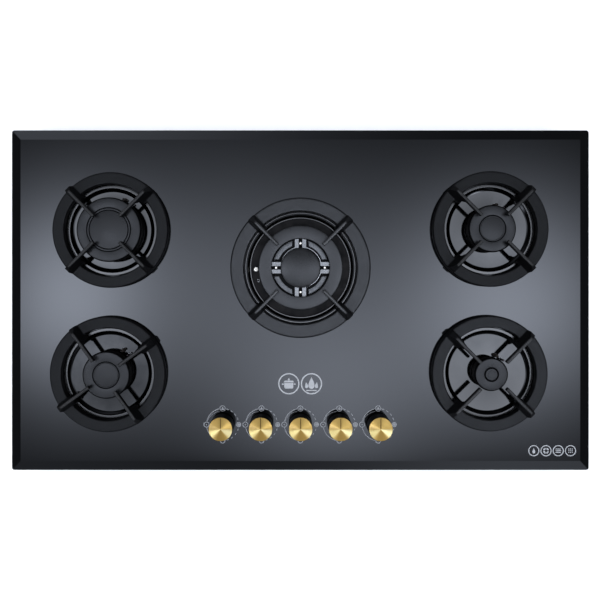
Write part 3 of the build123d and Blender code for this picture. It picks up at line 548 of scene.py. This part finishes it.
LOOKS = {
    "black_glass": black_glass,
    "dish_steel": dish_steel,
    "cast_iron": cast_iron,
    "cap_enamel": cap_enamel,
    "crown_dark": crown_dark,
    "crown_aluminium": crown_aluminium,
    "knob_brass": knob_brass,
    "knob_black": knob_black,
    "black_silicone": black_silicone,
    "white_ceramic": white_ceramic,
    "copper": copper,
    "tray_steel": lambda: sheet_zinc("tray_steel_look", (0.34, 0.345, 0.35), (0.52, 0.525, 0.53), 0.34, 0.50),
    "rail_steel": lambda: sheet_zinc("rail_steel_look", (0.38, 0.385, 0.39), (0.55, 0.555, 0.56), 0.32, 0.46),
    "fitting_brass": turned_brass,
    "tube_aluminium": tube_aluminium,
    "cast_aluminium": cast_aluminium,
    "black_plastic": black_plastic,
    "lead_silicone": lead_silicone,
    "foam": foam,
    "spindle_steel": spindle_steel,
    "zinc_steel": zinc_steel,
    "print_ink": print_ink,
    "print_ink_strong": lambda: print_ink("print_ink_strong_look", (0.26, 0.27, 0.285), (0.33, 0.34, 0.355)),
    # painted light and shade: cast_iron_middle and cast_iron_rear are a brighter and a dimmer copy of the cast iron,
    # cap_middle and cap_dome brighter copies of the cap enamel, by their specular level
    "cast_iron_middle": lambda: cast_iron("cast_iron_middle_look", 0.62, 0.36, 0.50),
    "cast_iron_rear": lambda: cast_iron("cast_iron_rear_look", 0.22, 0.44, 0.60),
    "cap_middle": lambda: cap_enamel("cap_middle_look", 0.27, 0.37, 0.55, 0.0849),
    "cap_dome": lambda: cap_enamel("cap_dome_look", 0.25, 0.32, 0.44, 0.0831),
    "dish_centre": dish_centre,
}


def look(name):
    if name not in MATS:
        MATS[name] = LOOKS[name]()
    return MATS[name]


# every frame node takes the look of its own slot
SLOT_OF = {}
for n, o in NODES.items():
    for s in o.material_slots:
        slot = s.material.name.split(".")[0]
        SLOT_OF[n] = slot
        s.material = look(slot)


# ------------------------------------------------------------------ mesh helpers (mm in, metres out)
def finish_mesh(bm, name, mat, body, sharp=35.0, weld=1e-4):
    bmesh.ops.remove_doubles(bm, verts=bm.verts, dist=weld)
    bmesh.ops.recalc_face_normals(bm, faces=bm.faces)
    me = bpy.data.meshes.new(name)
    bm.to_mesh(me)
    bm.free()
    me.transform(Matrix.Scale(MM, 4))
    me.polygons.foreach_set("use_smooth", [True] * len(me.polygons))
    me.set_sharp_from_angle(angle=math.radians(sharp))
    me.materials.append(look(mat))
    o = bpy.data.objects.new(name, me)
    bpy.context.scene.collection.objects.link(o)
    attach(o, body)
    return o


def rounded(points, steps=5):
    """Closed outline from (a, b) or (a, b, radius) corners, arcs cut into short runs."""
    out = []
    n = len(points)
    for i in range(n):
        b = Vector(points[i][:2])
        rad = points[i][2] if len(points[i]) > 2 else 0.0
        if rad <= 0:
            out.append(tuple(b))
            continue
        a, c = Vector(points[i - 1][:2]), Vector(points[(i + 1) % n][:2])
        u, v = (a - b).normalized(), (c - b).normalized()
        ang = math.acos(max(-1.0, min(1.0, u.dot(v))))
        d = rad / math.tan(ang / 2)
        centre = b + (u + v).normalized() * (rad / math.sin(ang / 2))
        p0, p1 = b + u * d, b + v * d
        a0 = math.atan2(p0.y - centre.y, p0.x - centre.x)
        a1 = math.atan2(p1.y - centre.y, p1.x - centre.x)
        da = (a1 - a0 + math.pi) % (2 * math.pi) - math.pi
        for k in range(steps + 1):
            t = a0 + da * k / steps
            out.append((centre.x + rad * math.cos(t), centre.y + rad * math.sin(t)))
    return out


def lathe(bm, outline, cx=0.0, cy=0.0, segs=160):
    rows = []
    for i in range(segs):
        t = 2 * math.pi * i / segs
        c, s = math.cos(t), math.sin(t)
        rows.append([bm.verts.new((cx + r * c, cy + r * s, z)) for r, z in outline])
    m = len(outline)
    for i in range(segs):
        a, b = rows[i], rows[(i + 1) % segs]
        for j in range(m):
            k = (j + 1) % m
            if outline[j][0] < 1e-6 and outline[k][0] < 1e-6:
                continue
            bm.faces.new((a[j], b[j], b[k], a[k]))


def prism(bm, outline, z0, z1):
    """Solid from a flat closed outline."""
    lo = [bm.verts.new((x, y, z0)) for x, y in outline]
    hi = [bm.verts.new((x, y, z1)) for x, y in outline]
    bm.faces.new(lo)
    bm.faces.new(hi)
    n = len(outline)
    for i in range(n):
        j = (i + 1) % n
        bm.faces.new((lo[i], lo[j], hi[j], hi[i]))


def band(bm, cx, cy, r0, r1, a0, a1, z0, z1, step=4.0):
    """Part of a flat ring between two angles in degrees; a full turn closes on itself."""
    full = abs(a1 - a0) >= 359.9
    n = max(2, int(abs(a1 - a0) / step))
    ins, out = (r0 if callable(r0) else lambda t: r0), (r1 if callable(r1) else lambda t: r1)
    count = n if full else n + 1
    rows = []
    for i in range(count):
        f = i / n
        t = math.radians(a0 + (a1 - a0) * f)
        c, s = math.cos(t), math.sin(t)
        q = []
        for r in (ins(f), out(f)):
            for z in (z0, z1):
                q.append(bm.verts.new((cx + r * c, cy + r * s, z)))
        rows.append(q)
    for i in range(n):
        a, b = rows[i], rows[(i + 1) % count]
        for u, v in ((0, 1), (1, 3), (3, 2), (2, 0)):
            bm.faces.new((a[u], b[u], b[v], a[v]))
    if not full:
        for q in (rows[0], rows[-1]):
            bm.faces.new((q[0], q[1], q[3], q[2]))


def cut(o, cutter):
    """Takes cutter out of o, for good."""
    mod = o.modifiers.new("cut", "BOOLEAN")
    mod.operation = "DIFFERENCE"
    mod.solver = "EXACT"
    mod.object = cutter
    dg = bpy.context.evaluated_depsgraph_get()
    me = bpy.data.meshes.new_from_object(o.evaluated_get(dg))
    o.modifiers.clear()
    old = o.data
    o.data = me
    me.name = old.name
    bpy.data.meshes.remove(old)
    bpy.data.objects.remove(cutter)
    return o


def loose(bm):
    """A cutter object that belongs to nothing."""
    bmesh.ops.recalc_face_normals(bm, faces=bm.faces)
    me = bpy.data.meshes.new("cutter")
    bm.to_mesh(me)
    bm.free()
    me.transform(Matrix.Scale(MM, 4))
    o = bpy.data.objects.new("cutter", me)
    bpy.context.scene.collection.objects.link(o)
    return o


def around(cx, cy, r, deg):
    t = math.radians(deg)
    return cx + r * math.cos(t), cy + r * math.sin(t)


# ------------------------------------------------------------------ spill dishes: pressed, with a rolled rim
def dishes():
    bm = bmesh.new()
    holes = bmesh.new()
    zt, zd = Z_GLASS + 1.0, Z_GLASS - 2.5
    for name, b in BURNERS.items():
        x, y, rcap = b[:3]
        hole = rcap - 3.0
        if name == "centre":
            outline = rounded([
                (hole, zd - 1.0), (76.7, zd - 1.0, 1.6), (81.8, Z_GLASS + 0.02, 0.4), (86.0, Z_GLASS + 0.02),
                (86.0, zt - 0.5, 0.3), (85.2, zt, 0.6), (82.2, zt, 0.9), (80.8, zt - 1.0, 0.5), (78.6, zd + 0.55, 0.5),
                (78.0, zd + 1.0, 0.4), (76.8, zd + 1.0, 0.4), (76.2, zd, 0.4), (hole + 1.0, zd, 0.6),
                (hole, zd + 0.35, 0.15)], 6)
        else:
            outline = rounded([
                (hole, zd - 1.0), (60.9, zd - 1.0, 1.6), (65.6, Z_GLASS + 0.02, 0.4), (70.3, Z_GLASS + 0.02),
                (70.3, zt - 0.55, 0.3), (69.4, zt - 0.05, 0.8), (65.7, zt, 0.8), (64.3, zt - 1.1, 0.5),
                (61.4, zd + 0.6, 0.8), (59.6, zd, 1.2), (hole + 1.0, zd, 0.6), (hole, zd + 0.35, 0.15)], 6)
        lathe(bm, outline, x, y, 224)
        for deg, rad in ((b[4], 3.5), (b[5], 2.4)):
            ex, ey = around(x, y, b[3], deg)
            lathe(holes, [(0, zd - 3), (rad, zd - 3), (rad, zd + 2), (0, zd + 2)], ex, ey, 40)
    bmesh.ops.remove_doubles(holes, verts=holes.verts, dist=1e-4)
    o = finish_mesh(bm, "spill_dish_set", "dish_steel", "base", 40.0)
    cut(o, loose(holes))
    me = o.data
    me.set_sharp_from_angle(angle=math.radians(40))
    me.materials.clear()
    me.materials.append(look("dish_steel"))
    me.materials.append(look("dish_centre"))
    cx, cy = (v * MM for v in BURNERS["centre"][:2])
    for poly in me.polygons:
        c = poly.center
        poly.material_index = 1 if math.hypot(c.x - cx, c.y - cy) < 0.100 else 0
    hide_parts("spill_dishes")


dishes()


# ------------------------------------------------------------------ burner caps: enamelled, with turned grooves
def caps():
    z0, zt = Z_GLASS + 15.0, Z_GLASS + 20.0

    def groove(ra, rb, depth, za=None, zb=None):
        """Outline of a turned groove, from its outer to its inner edge."""
        za, zb = zt if za is None else za, zt if zb is None else zb
        w = (ra - rb) * 0.16
        return [(ra, za, 0.16), (ra - w, za - depth, 0.12), (rb + w, zb - depth, 0.12), (rb, zb, 0.16)]

    def cap(name, body, under, rim, top, mat, x, y):
        bm = bmesh.new()
        lathe(bm, rounded(under + rim + top, 5), x, y, 200)
        o = finish_mesh(bm, name, mat, body, 50.0)
        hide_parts(body.replace("cap_", "burner_cap_"))

    def under(r):
        return [(0, z0), (r - 8.4, z0), (r - 8.4, z0 - 2.2, 0.3), (r - 6.2, z0 - 2.2, 0.3), (r - 6.2, z0), (r, z0, 0.4)]

    def rim(r):
        """Stepped edge: a low band outside the raised top, painted dark as shade by the cap material."""
        return [(r, zt - 1.7, 0.6), (r - 1.35, zt - 1.15, 0.3), (r - 1.9, zt, 0.7)]

    x, y, r = BURNERS["left_rear"][:3]
    cap("burner_cap_left_rear_enamelled", "cap_left_rear", under(r), rim(r),
        groove(34.1, 32.5, 1.6, zt, zt - 0.1) + groove(30.4, 28.9, 1.5, zt - 0.1, zt - 0.2) + [(0, zt - 0.2)],
        "cap_enamel", x, y)
    for n in ("left_front", "right_rear"):
        x, y, r = BURNERS[n][:3]
        cap(f"burner_cap_{n}_enamelled", f"cap_{n}", under(r), rim(r),
            groove(20.9, 19.2, 1.6, zt, zt - 0.1) + groove(18.2, 17.6, 0.35, zt - 0.1, zt - 0.25) + [(0, zt - 0.25)],
            "cap_enamel", x, y)
    x, y, r = BURNERS["right_front"][:3]
    cap("burner_cap_right_front_enamelled", "cap_right_front", under(r), rim(r),
        [(11.3, zt, 0.2), (10.6, zt - 1.4, 0.15), (9.3, zt - 1.4, 0.15), (8.9, zt + 0.5, 0.5), (6.2, zt + 0.5, 0.6),
         (5.0, zt + 0.32, 0.8), (0, zt + 0.30)], "cap_enamel", x, y)
    x, y, r = BURNERS["centre"][:3]
    cap("burner_cap_centre_outer_enamelled", "cap_centre_outer",
        [(44.4, z0, 0.3), (49.0, z0), (49.0, z0 - 2.2, 0.3), (51.0, z0 - 2.2, 0.3), (51.0, z0), (r, z0, 0.4)],
        [(r, zt, 1.5)], [(44.4, zt, 1.1)], "cap_middle", x, y)
    dome = []
    for i in range(15):
        q = 28.6 * (1 - i / 14)
        dome.append((q, 85.95 - 2.2 * (q / 28.6) ** 2))
    cap("burner_cap_centre_inner_enamelled", "cap_centre_inner",
        [(0, z0), (23.4, z0), (23.4, z0 - 2.2, 0.3), (25.6, z0 - 2.2, 0.3), (25.6, z0), (30.7, z0, 0.3)],
        [(30.7, 82.9, 0.6)], [(29.6, 83.5, 0.5)] + dome, "cap_dome", x, y)


caps()


# ------------------------------------------------------------------ middle burner body: cast arcs, bridges and studs
def middle_crown():
    src = NODES["flame_ring_centre"]
    x, y = BURNERS["centre"][:2]
    bm = bmesh.new()
    zv = Z_GLASS + 4.5
    # cast arcs between the bridges, each its own raised field with soft corners
    r0, r1, half = 35.0, 43.6, 11.6
    for k in range(4):
        mid = 45 + 90 * k
        a_out = 45 - math.degrees(math.asin(half / r1))
        a_in = 45 - math.degrees(math.asin(half / r0))
        n = 26
        rows = []
        prof = [(0.0, -0.6), (0.0, 0.75), (0.12, 1.15), (0.5, 1.45), (1.0, 1.55)]
        radial = [(r0, 0), (r0, 1), (r0 + 0.15, 2), (r0 + 0.5, 3), (r0 + 1.1, 4), ((r0 + r1) / 2, 4), (r1 - 1.1, 4),
                  (r1 - 0.5, 3), (r1 - 0.15, 2), (r1, 1), (r1, 0)]
        for i in range(n + 1):
            f = -1 + 2 * i / n
            edge = (1 - abs(f)) * a_out * math.radians(1) * r1
            cap_z = min(1.55, 0.75 + 0.8 * min(1.0, edge / 1.0)) if abs(f) < 1 else 0.75
            row = []
            for rr, lvl in radial:
                half_a = a_in + (a_out - a_in) * (rr - r0) / (r1 - r0)
                t = math.radians(mid + f * half_a)
                z = zv + (prof[lvl][1] if lvl == 0 else min(prof[lvl][1], cap_z))
                row.append(bm.verts.new((x + rr * math.cos(t), y + rr * math.sin(t), z)))
            rows.append(row)
        m = len(radial)
        for i in range(n):
            for j in range(m):
                q = (j + 1) % m
                bm.faces.new((rows[i][j], rows[i][q], rows[i + 1][q], rows[i + 1][j]))
        bm.faces.new(rows[0])
        bm.faces.new(rows[-1])
    # turned seat of the inner flame ring
    lathe(bm, rounded([(30.6, zv - 0.6), (31.7, zv - 0.6), (31.7, zv + 6.2, 0.4), (30.6, zv + 6.2, 0.4)], 5),
          x + 0.85, y + 0.85, 200)
    bmesh.ops.recalc_face_normals(bm, faces=bm.faces)
    bmesh.ops.scale(bm, vec=(MM, MM, MM), verts=bm.verts)
    bm.from_mesh(src.data)
    me = bpy.data.meshes.new("flame_ring_centre_cast")
    bm.to_mesh(me)
    bm.free()
    me.polygons.foreach_set("use_smooth", [True] * len(me.polygons))
    me.set_sharp_from_angle(angle=math.radians(32))
    me.materials.clear()
    me.materials.append(look("crown_aluminium"))
    o = bpy.data.objects.new("flame_ring_centre_cast", me)
    bpy.context.scene.collection.objects.link(o)
    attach(o, "crown_centre")
    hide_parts("flame_ring_centre")


middle_crown()


# ------------------------------------------------------------------ electrodes: glazed bodies with a wire pin
def electrodes():
    bm = bmesh.new()
    for name, b in BURNERS.items():
        ex, ey = around(b[0], b[1], b[3], b[4])
        body = 3.0 if name == "centre" else 2.3
        pin = 0.55 if name == "centre" else 0.8
        lathe(bm, rounded([
            (0, 48.0), (1.2, 48.0), (1.2, 53.0), (3.2, 53.0, 0.4), (3.2, 64.0, 0.4), (body, 65.0, 0.3),
            (body, 68.6, 0.2), (body - 0.22, 69.0, 0.15), (body, 69.4, 0.2), (body, 71.2, 0.2), (body - 0.22, 71.6, 0.15),
            (body, 72.0, 0.2), (body, 75.2, 1.1), (pin + 0.15, 75.9, 0.2), (pin, 77.8), (pin, 80.0, 0.3), (0, 80.0)], 5),
            ex, ey, 48)
    o = finish_mesh(bm, "spark_electrode_set", "white_ceramic", "base", 40.0)
    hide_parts("spark_electrodes")


electrodes()


# ------------------------------------------------------------------ pan supports: cast, with soft edges and skin
def casting(node, body):
    src = NODES[node]
    me = src.data.copy()
    o = bpy.data.objects.new(node + "_casting", me)
    bpy.context.scene.collection.objects.link(o)
    bm = bmesh.new()
    bm.from_mesh(me)
    bmesh.ops.remove_doubles(bm, verts=bm.verts, dist=1e-6)
    bm.to_mesh(me)
    bm.free()
    voxel = 0.00085
    r = o.modifiers.new("grow", "REMESH")
    r.mode = "VOXEL"
    r.voxel_size = voxel
    r.adaptivity = 0.0
    r.use_smooth_shade = True
    s = o.modifiers.new("soft", "SMOOTH")
    s.factor = 0.5
    s.iterations = 3
    dg = bpy.context.evaluated_depsgraph_get()
    out = bpy.data.meshes.new_from_object(o.evaluated_get(dg))
    o.modifiers.clear()
    o.data = out
    bpy.data.meshes.remove(me)
    n = len(out.vertices)
    co = np.empty(n * 3, np.float32)
    no = np.empty(n * 3, np.float32)
    out.vertices.foreach_get("co", co)
    out.vertices.foreach_get("normal", no)
    co, no = co.reshape(-1, 3), no.reshape(-1, 3)
    push = np.array([noise.noise(Vector(p) * 210.0) * 0.00010 + noise.noise(Vector(p) * 60.0) * 0.00008
                     for p in co.tolist()], np.float32)
    co = co + no * push[:, None]
    lo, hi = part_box(node)
    co = np.clip(co, np.array(lo, np.float32), np.array(hi, np.float32))
    out.vertices.foreach_set("co", co.astype(np.float32).ravel())
    out.update()
    out.materials.clear()
    # painted light and shade: the middle support takes the brighter copy, the rear and left front supports the dimmer
    # one
    out.materials.append(look("cast_iron_middle" if node.endswith("centre") else
                              "cast_iron_rear" if node.endswith(("rear", "left_front")) else "cast_iron"))
    out.polygons.foreach_set("use_smooth", [True] * len(out.polygons))
    if out.has_custom_normals:
        out.free_normals_split() if hasattr(out, "free_normals_split") else None
    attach(o, body)
    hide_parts(node)
    return o


for s in BURNERS:
    casting(f"pan_support_{s}", f"support_{s}")


# ------------------------------------------------------------------ printed marks on the glass
PZ0, PZ1 = Z_GLASS - 0.03, Z_GLASS + 0.05


def drop(cx, cy, h, lean=0.0):
    """Outline of a plain flame drop of height h, standing on its round end."""
    w = h * 0.36
    pts = []
    for i in range(36):
        t = 2 * math.pi * i / 36
        y = -math.cos(t)
        x = math.sin(t) * (0.5 * (1 - y)) ** 0.75
        pts.append((cx + w * x + lean * max(0.0, y) * w, cy + y * h / 2))
    return pts


def dial(bm, kx, ky):
    R, w = 25.0, 0.55
    for deg, r, line in ((90, 4.6, 0.5), (180, 4.6, 0.6), (0, 3.9, 0.75), (270, 4.3, 0.6)):
        x, y = around(kx, ky, R, deg)
        band(bm, x, y, r - 2 * line, r, 0, 360, PZ0, PZ1, 12)
    x, y = around(kx, ky, R, 90)
    prism(bm, drop(x, y + 0.2, 5.4), PZ0, PZ1)
    for sx in (-1, 1):
        prism(bm, drop(x + sx * 2.0, y - 0.9, 2.6), PZ0, PZ1)
    x, y = around(kx, ky, R, 180)
    prism(bm, [around(x, y, 1.1, t) for t in range(0, 360, 30)], PZ0, PZ1)
    x, y = around(kx, ky, R, 0)
    prism(bm, [around(x, y, 2.1, t) for t in range(0, 360, 20)], PZ0, PZ1)
    # opening wedge from small to large
    band(bm, kx, ky, R - w, R + w, 102, 168, PZ0, PZ1)
    band(bm, kx, ky, lambda f: R - 4.4 + 3.2 * f, lambda f: R - 3.9 + 3.3 * f, 103, 166, PZ0, PZ1)
    # plain scale to the minimum side
    band(bm, kx, ky, R - w * 0.8, R + w * 0.8, 192, 259, PZ0, PZ1)
    for a in (72, 55, 38, 21):
        band(bm, kx, ky, R - w, R + w, a - 4.5, a + 4.5, PZ0, PZ1)
    for a in (-18, -36, -54, -71):
        band(bm, kx, ky, R - w * 0.8, R + w * 0.8, a - 3.5, a + 3.5, PZ0, PZ1)


def prints():
    bm = bmesh.new()
    for kx in KX:
        dial(bm, kx, KNOB_Y)
    finish_mesh(bm, "dial_marks", "print_ink", "base", sharp=30)

    bm = bmesh.new()
    # a covered pot
    cx, cy = -18.0, -129.6
    band(bm, cx, cy, 14.6, 16.5, 0, 360, PZ0, PZ1, 5)
    prism(bm, rounded([(cx - 7.0, cy - 7.4, 2.0), (cx + 7.0, cy - 7.4, 2.0), (cx + 7.0, cy + 1.2), (cx - 7.0, cy + 1.2)], 4),
          PZ0, PZ1)
    for sx in (-1, 1):
        x0, x1 = sorted((cx + sx * 7.8, cx + sx * 10.6))
        prism(bm, [(x0, cy - 1.6), (x1, cy - 1.6), (x1, cy + 0.4), (x0, cy + 0.4)], PZ0, PZ1)
    prism(bm, rounded([(cx - 8.2, cy + 2.2), (cx + 8.2, cy + 2.2), (cx + 6.2, cy + 5.0, 1.6), (cx - 6.2, cy + 5.0, 1.6)], 4),
          PZ0, PZ1)
    prism(bm, [around(cx, cy + 6.9, 1.5, t) for t in range(0, 360, 24)], PZ0, PZ1)
    # a plain flame
    cx = 17.2
    band(bm, cx, cy, 14.6, 16.5, 0, 360, PZ0, PZ1, 5)
    prism(bm, drop(cx, cy + 1.4, 18.5), PZ0, PZ1)
    for sx in (-1, 1):
        prism(bm, drop(cx + sx * 7.6, cy - 2.0, 9.5, sx * 0.25), PZ0, PZ1)
    prism(bm, rounded([(cx - 8.0, cy - 11.2, 0.6), (cx + 8.0, cy - 11.2, 0.6), (cx + 8.0, cy - 9.6, 0.6),
                       (cx - 8.0, cy - 9.6, 0.6)], 3), PZ0, PZ1)
    finish_mesh(bm, "cooking_marks", "print_ink_strong", "base", sharp=30)

    # four small separate rings with plain signs
    bm = bmesh.new()
    y = -233.6
    for i, x in enumerate((362.5, 381.5, 400.5, 419.5)):
        band(bm, x, y, 7.2, 8.6, 0, 360, PZ0, PZ1, 8)
        if i == 0:
            prism(bm, drop(x, y, 8.4), PZ0, PZ1)
        elif i == 1:
            for k in range(4):
                band(bm, x, y, 2.2, 4.6, 90 * k + 12, 90 * k + 78, PZ0, PZ1, 11)
        elif i == 2:
            for k in (-1, 0, 1):
                prism(bm, [(x - 4.2, y + 2.6 * k - 0.6), (x + 4.2, y + 2.6 * k - 0.6), (x + 4.2, y + 2.6 * k + 0.6),
                           (x - 4.2, y + 2.6 * k + 0.6)], PZ0, PZ1)
        else:
            for dx in (-2.6, 0, 2.6):
                for dy in (-2.6, 0, 2.6):
                    prism(bm, [around(x + dx, y + dy, 0.85, t) for t in range(0, 360, 45)], PZ0, PZ1)
    finish_mesh(bm, "plain_signs", "print_ink_strong", "base", sharp=30)


prints()

# ------------------------------------------------------------------ floor
me = bpy.data.meshes.new("floor")
side = 30.0
me.from_pydata([(-side, -side, -0.0005), (side, -side, -0.0005), (side, side, -0.0005), (-side, side, -0.0005)], [],
               [(0, 1, 2, 3)])
floor = bpy.data.objects.new("floor", me)
bpy.context.scene.collection.objects.link(floor)
f = Mat("floor_look", (0.86, 0.86, 0.86), 0.8, spec=0.2)
pale = f.mix(f.noise(3.0, 2.0, 0.5), (0.86, 0.86, 0.86), (0.89, 0.89, 0.89))
seen_floor = f.node("ShaderNodeLightPath").outputs["Is Camera Ray"]
f.base(f.mix(seen_floor, (0.30, 0.30, 0.30), pale))
f.bump(f.noise(400.0, 2.0, 0.5), 0.0001, 0.3)
me.materials.append(f.m)

# ------------------------------------------------------------------ light: soft boxes as smooth lobes of sky
world = bpy.data.worlds.new("studio")
bpy.context.scene.world = world
world.use_nodes = True
nt = world.node_tree
nt.nodes.clear()
links = nt.links


def wn(kind, **props):
    n = nt.nodes.new(kind)
    for k, v in props.items():
        setattr(n, k, v)
    return n


def wm(op, a, b=None, clamp=False):
    n = wn("ShaderNodeMath", operation=op, use_clamp=clamp)
    for i, v in enumerate((a, b)):
        if v is None:
            continue
        if isinstance(v, bpy.types.NodeSocket):
            links.new(v, n.inputs[i])
        else:
            n.inputs[i].default_value = v
    return n.outputs[0]


sky = wn("ShaderNodeTexCoord").outputs["Generated"]
sep = wn("ShaderNodeSeparateXYZ")
links.new(sky, sep.inputs[0])
dz = wm("MAXIMUM", sep.outputs[2], 0.02)
U = wm("DIVIDE", sep.outputs[0], dz)
V = wm("DIVIDE", sep.outputs[1], dz)

# (strength, centre along X, centre along Y, width X, width Y), in tangents of the angle from straight up
LOBES = [
    (4.30, -0.365, -0.040, 0.084, 0.097),
    (4.85, 0.358, -0.057, 0.112, 0.114),
    (2.21, 0.074, -0.201, 0.121, 0.101),
    (2.16, -0.129, -0.040, 0.281, 0.144),
    (1.00, -0.55, 1.05, 0.38, 0.25),
    (0.85, 0.55, -1.25, 0.33, 0.30),
    (0.22, -0.55, -1.25, 0.33, 0.30),
    (16.0, -0.62, -0.57, 0.080, 0.080),
    (16.0, 0.62, -0.57, 0.080, 0.080),
    (-0.80, 0.03, -0.345, 0.200, 0.026),
]
total = None
for amp, cu, cv, su, sv in LOBES:
    du = wm("DIVIDE", wm("SUBTRACT", U, cu), su)
    dv = wm("DIVIDE", wm("SUBTRACT", V, cv), sv)
    q = wm("ADD", wm("MULTIPLY", du, du), wm("MULTIPLY", dv, dv))
    g = wm("MULTIPLY", wm("EXPONENT", wm("MULTIPLY", q, -0.5)), amp)
    total = g if total is None else wm("ADD", total, g)
total = wm("MAXIMUM", wm("ADD", total, 0.07), 0.03)
low = wn("ShaderNodeMapRange")
low.interpolation_type = "SMOOTHSTEP"
links.new(sep.outputs[2], low.inputs[0])
for i, v in enumerate((0.52, 0.08, 0.0, 0.95)):
    low.inputs[i + 1].default_value = v
total = wm("ADD", total, low.outputs[0])

bg = wn("ShaderNodeBackground")
bg.inputs[0].default_value = (0.89, 0.971, 1.148, 1)
links.new(total, bg.inputs[1])
plain = wn("ShaderNodeBackground")
plain.inputs[0].default_value = (0.97, 0.97, 0.97, 1)
path = wn("ShaderNodeLightPath")
pick = wn("ShaderNodeMixShader")
links.new(path.outputs["Is Camera Ray"], pick.inputs[0])
links.new(bg.outputs[0], pick.inputs[1])
links.new(plain.outputs[0], pick.inputs[2])
out = wn("ShaderNodeOutputWorld")
links.new(pick.outputs[0], out.inputs[0])

fill = bpy.data.lights.new("fill", "SUN")
fill.energy = 2.6
fill.angle = math.radians(70)
fill_o = bpy.data.objects.new("fill", fill)
bpy.context.scene.collection.objects.link(fill_o)
fill_o.location = (0, 0, 2)
fill_o.visible_glossy = False

# ------------------------------------------------------------------ camera: straight down, as the photograph
cam = bpy.data.cameras.new("camera")
cam.sensor_width = 36.0
cam.lens = 36.7
cam.shift_x = 0.0133
cam.shift_y = -0.0467
cam.clip_start = 0.05
cam.clip_end = 100.0
cam_o = bpy.data.objects.new("camera", cam)
bpy.context.scene.collection.objects.link(cam_o)
cam_o.location = (-0.013, 0.044, 1.016)
cam_o.rotation_euler = (0.0, 0.0, 0.0)
bpy.context.scene.camera = cam_o

bpy.context.scene.view_settings.view_transform = "Standard"
bpy.context.scene.view_settings.look = "None"
bpy.context.scene.view_settings.exposure = 0.0
bpy.context.scene.view_settings.gamma = 1.0
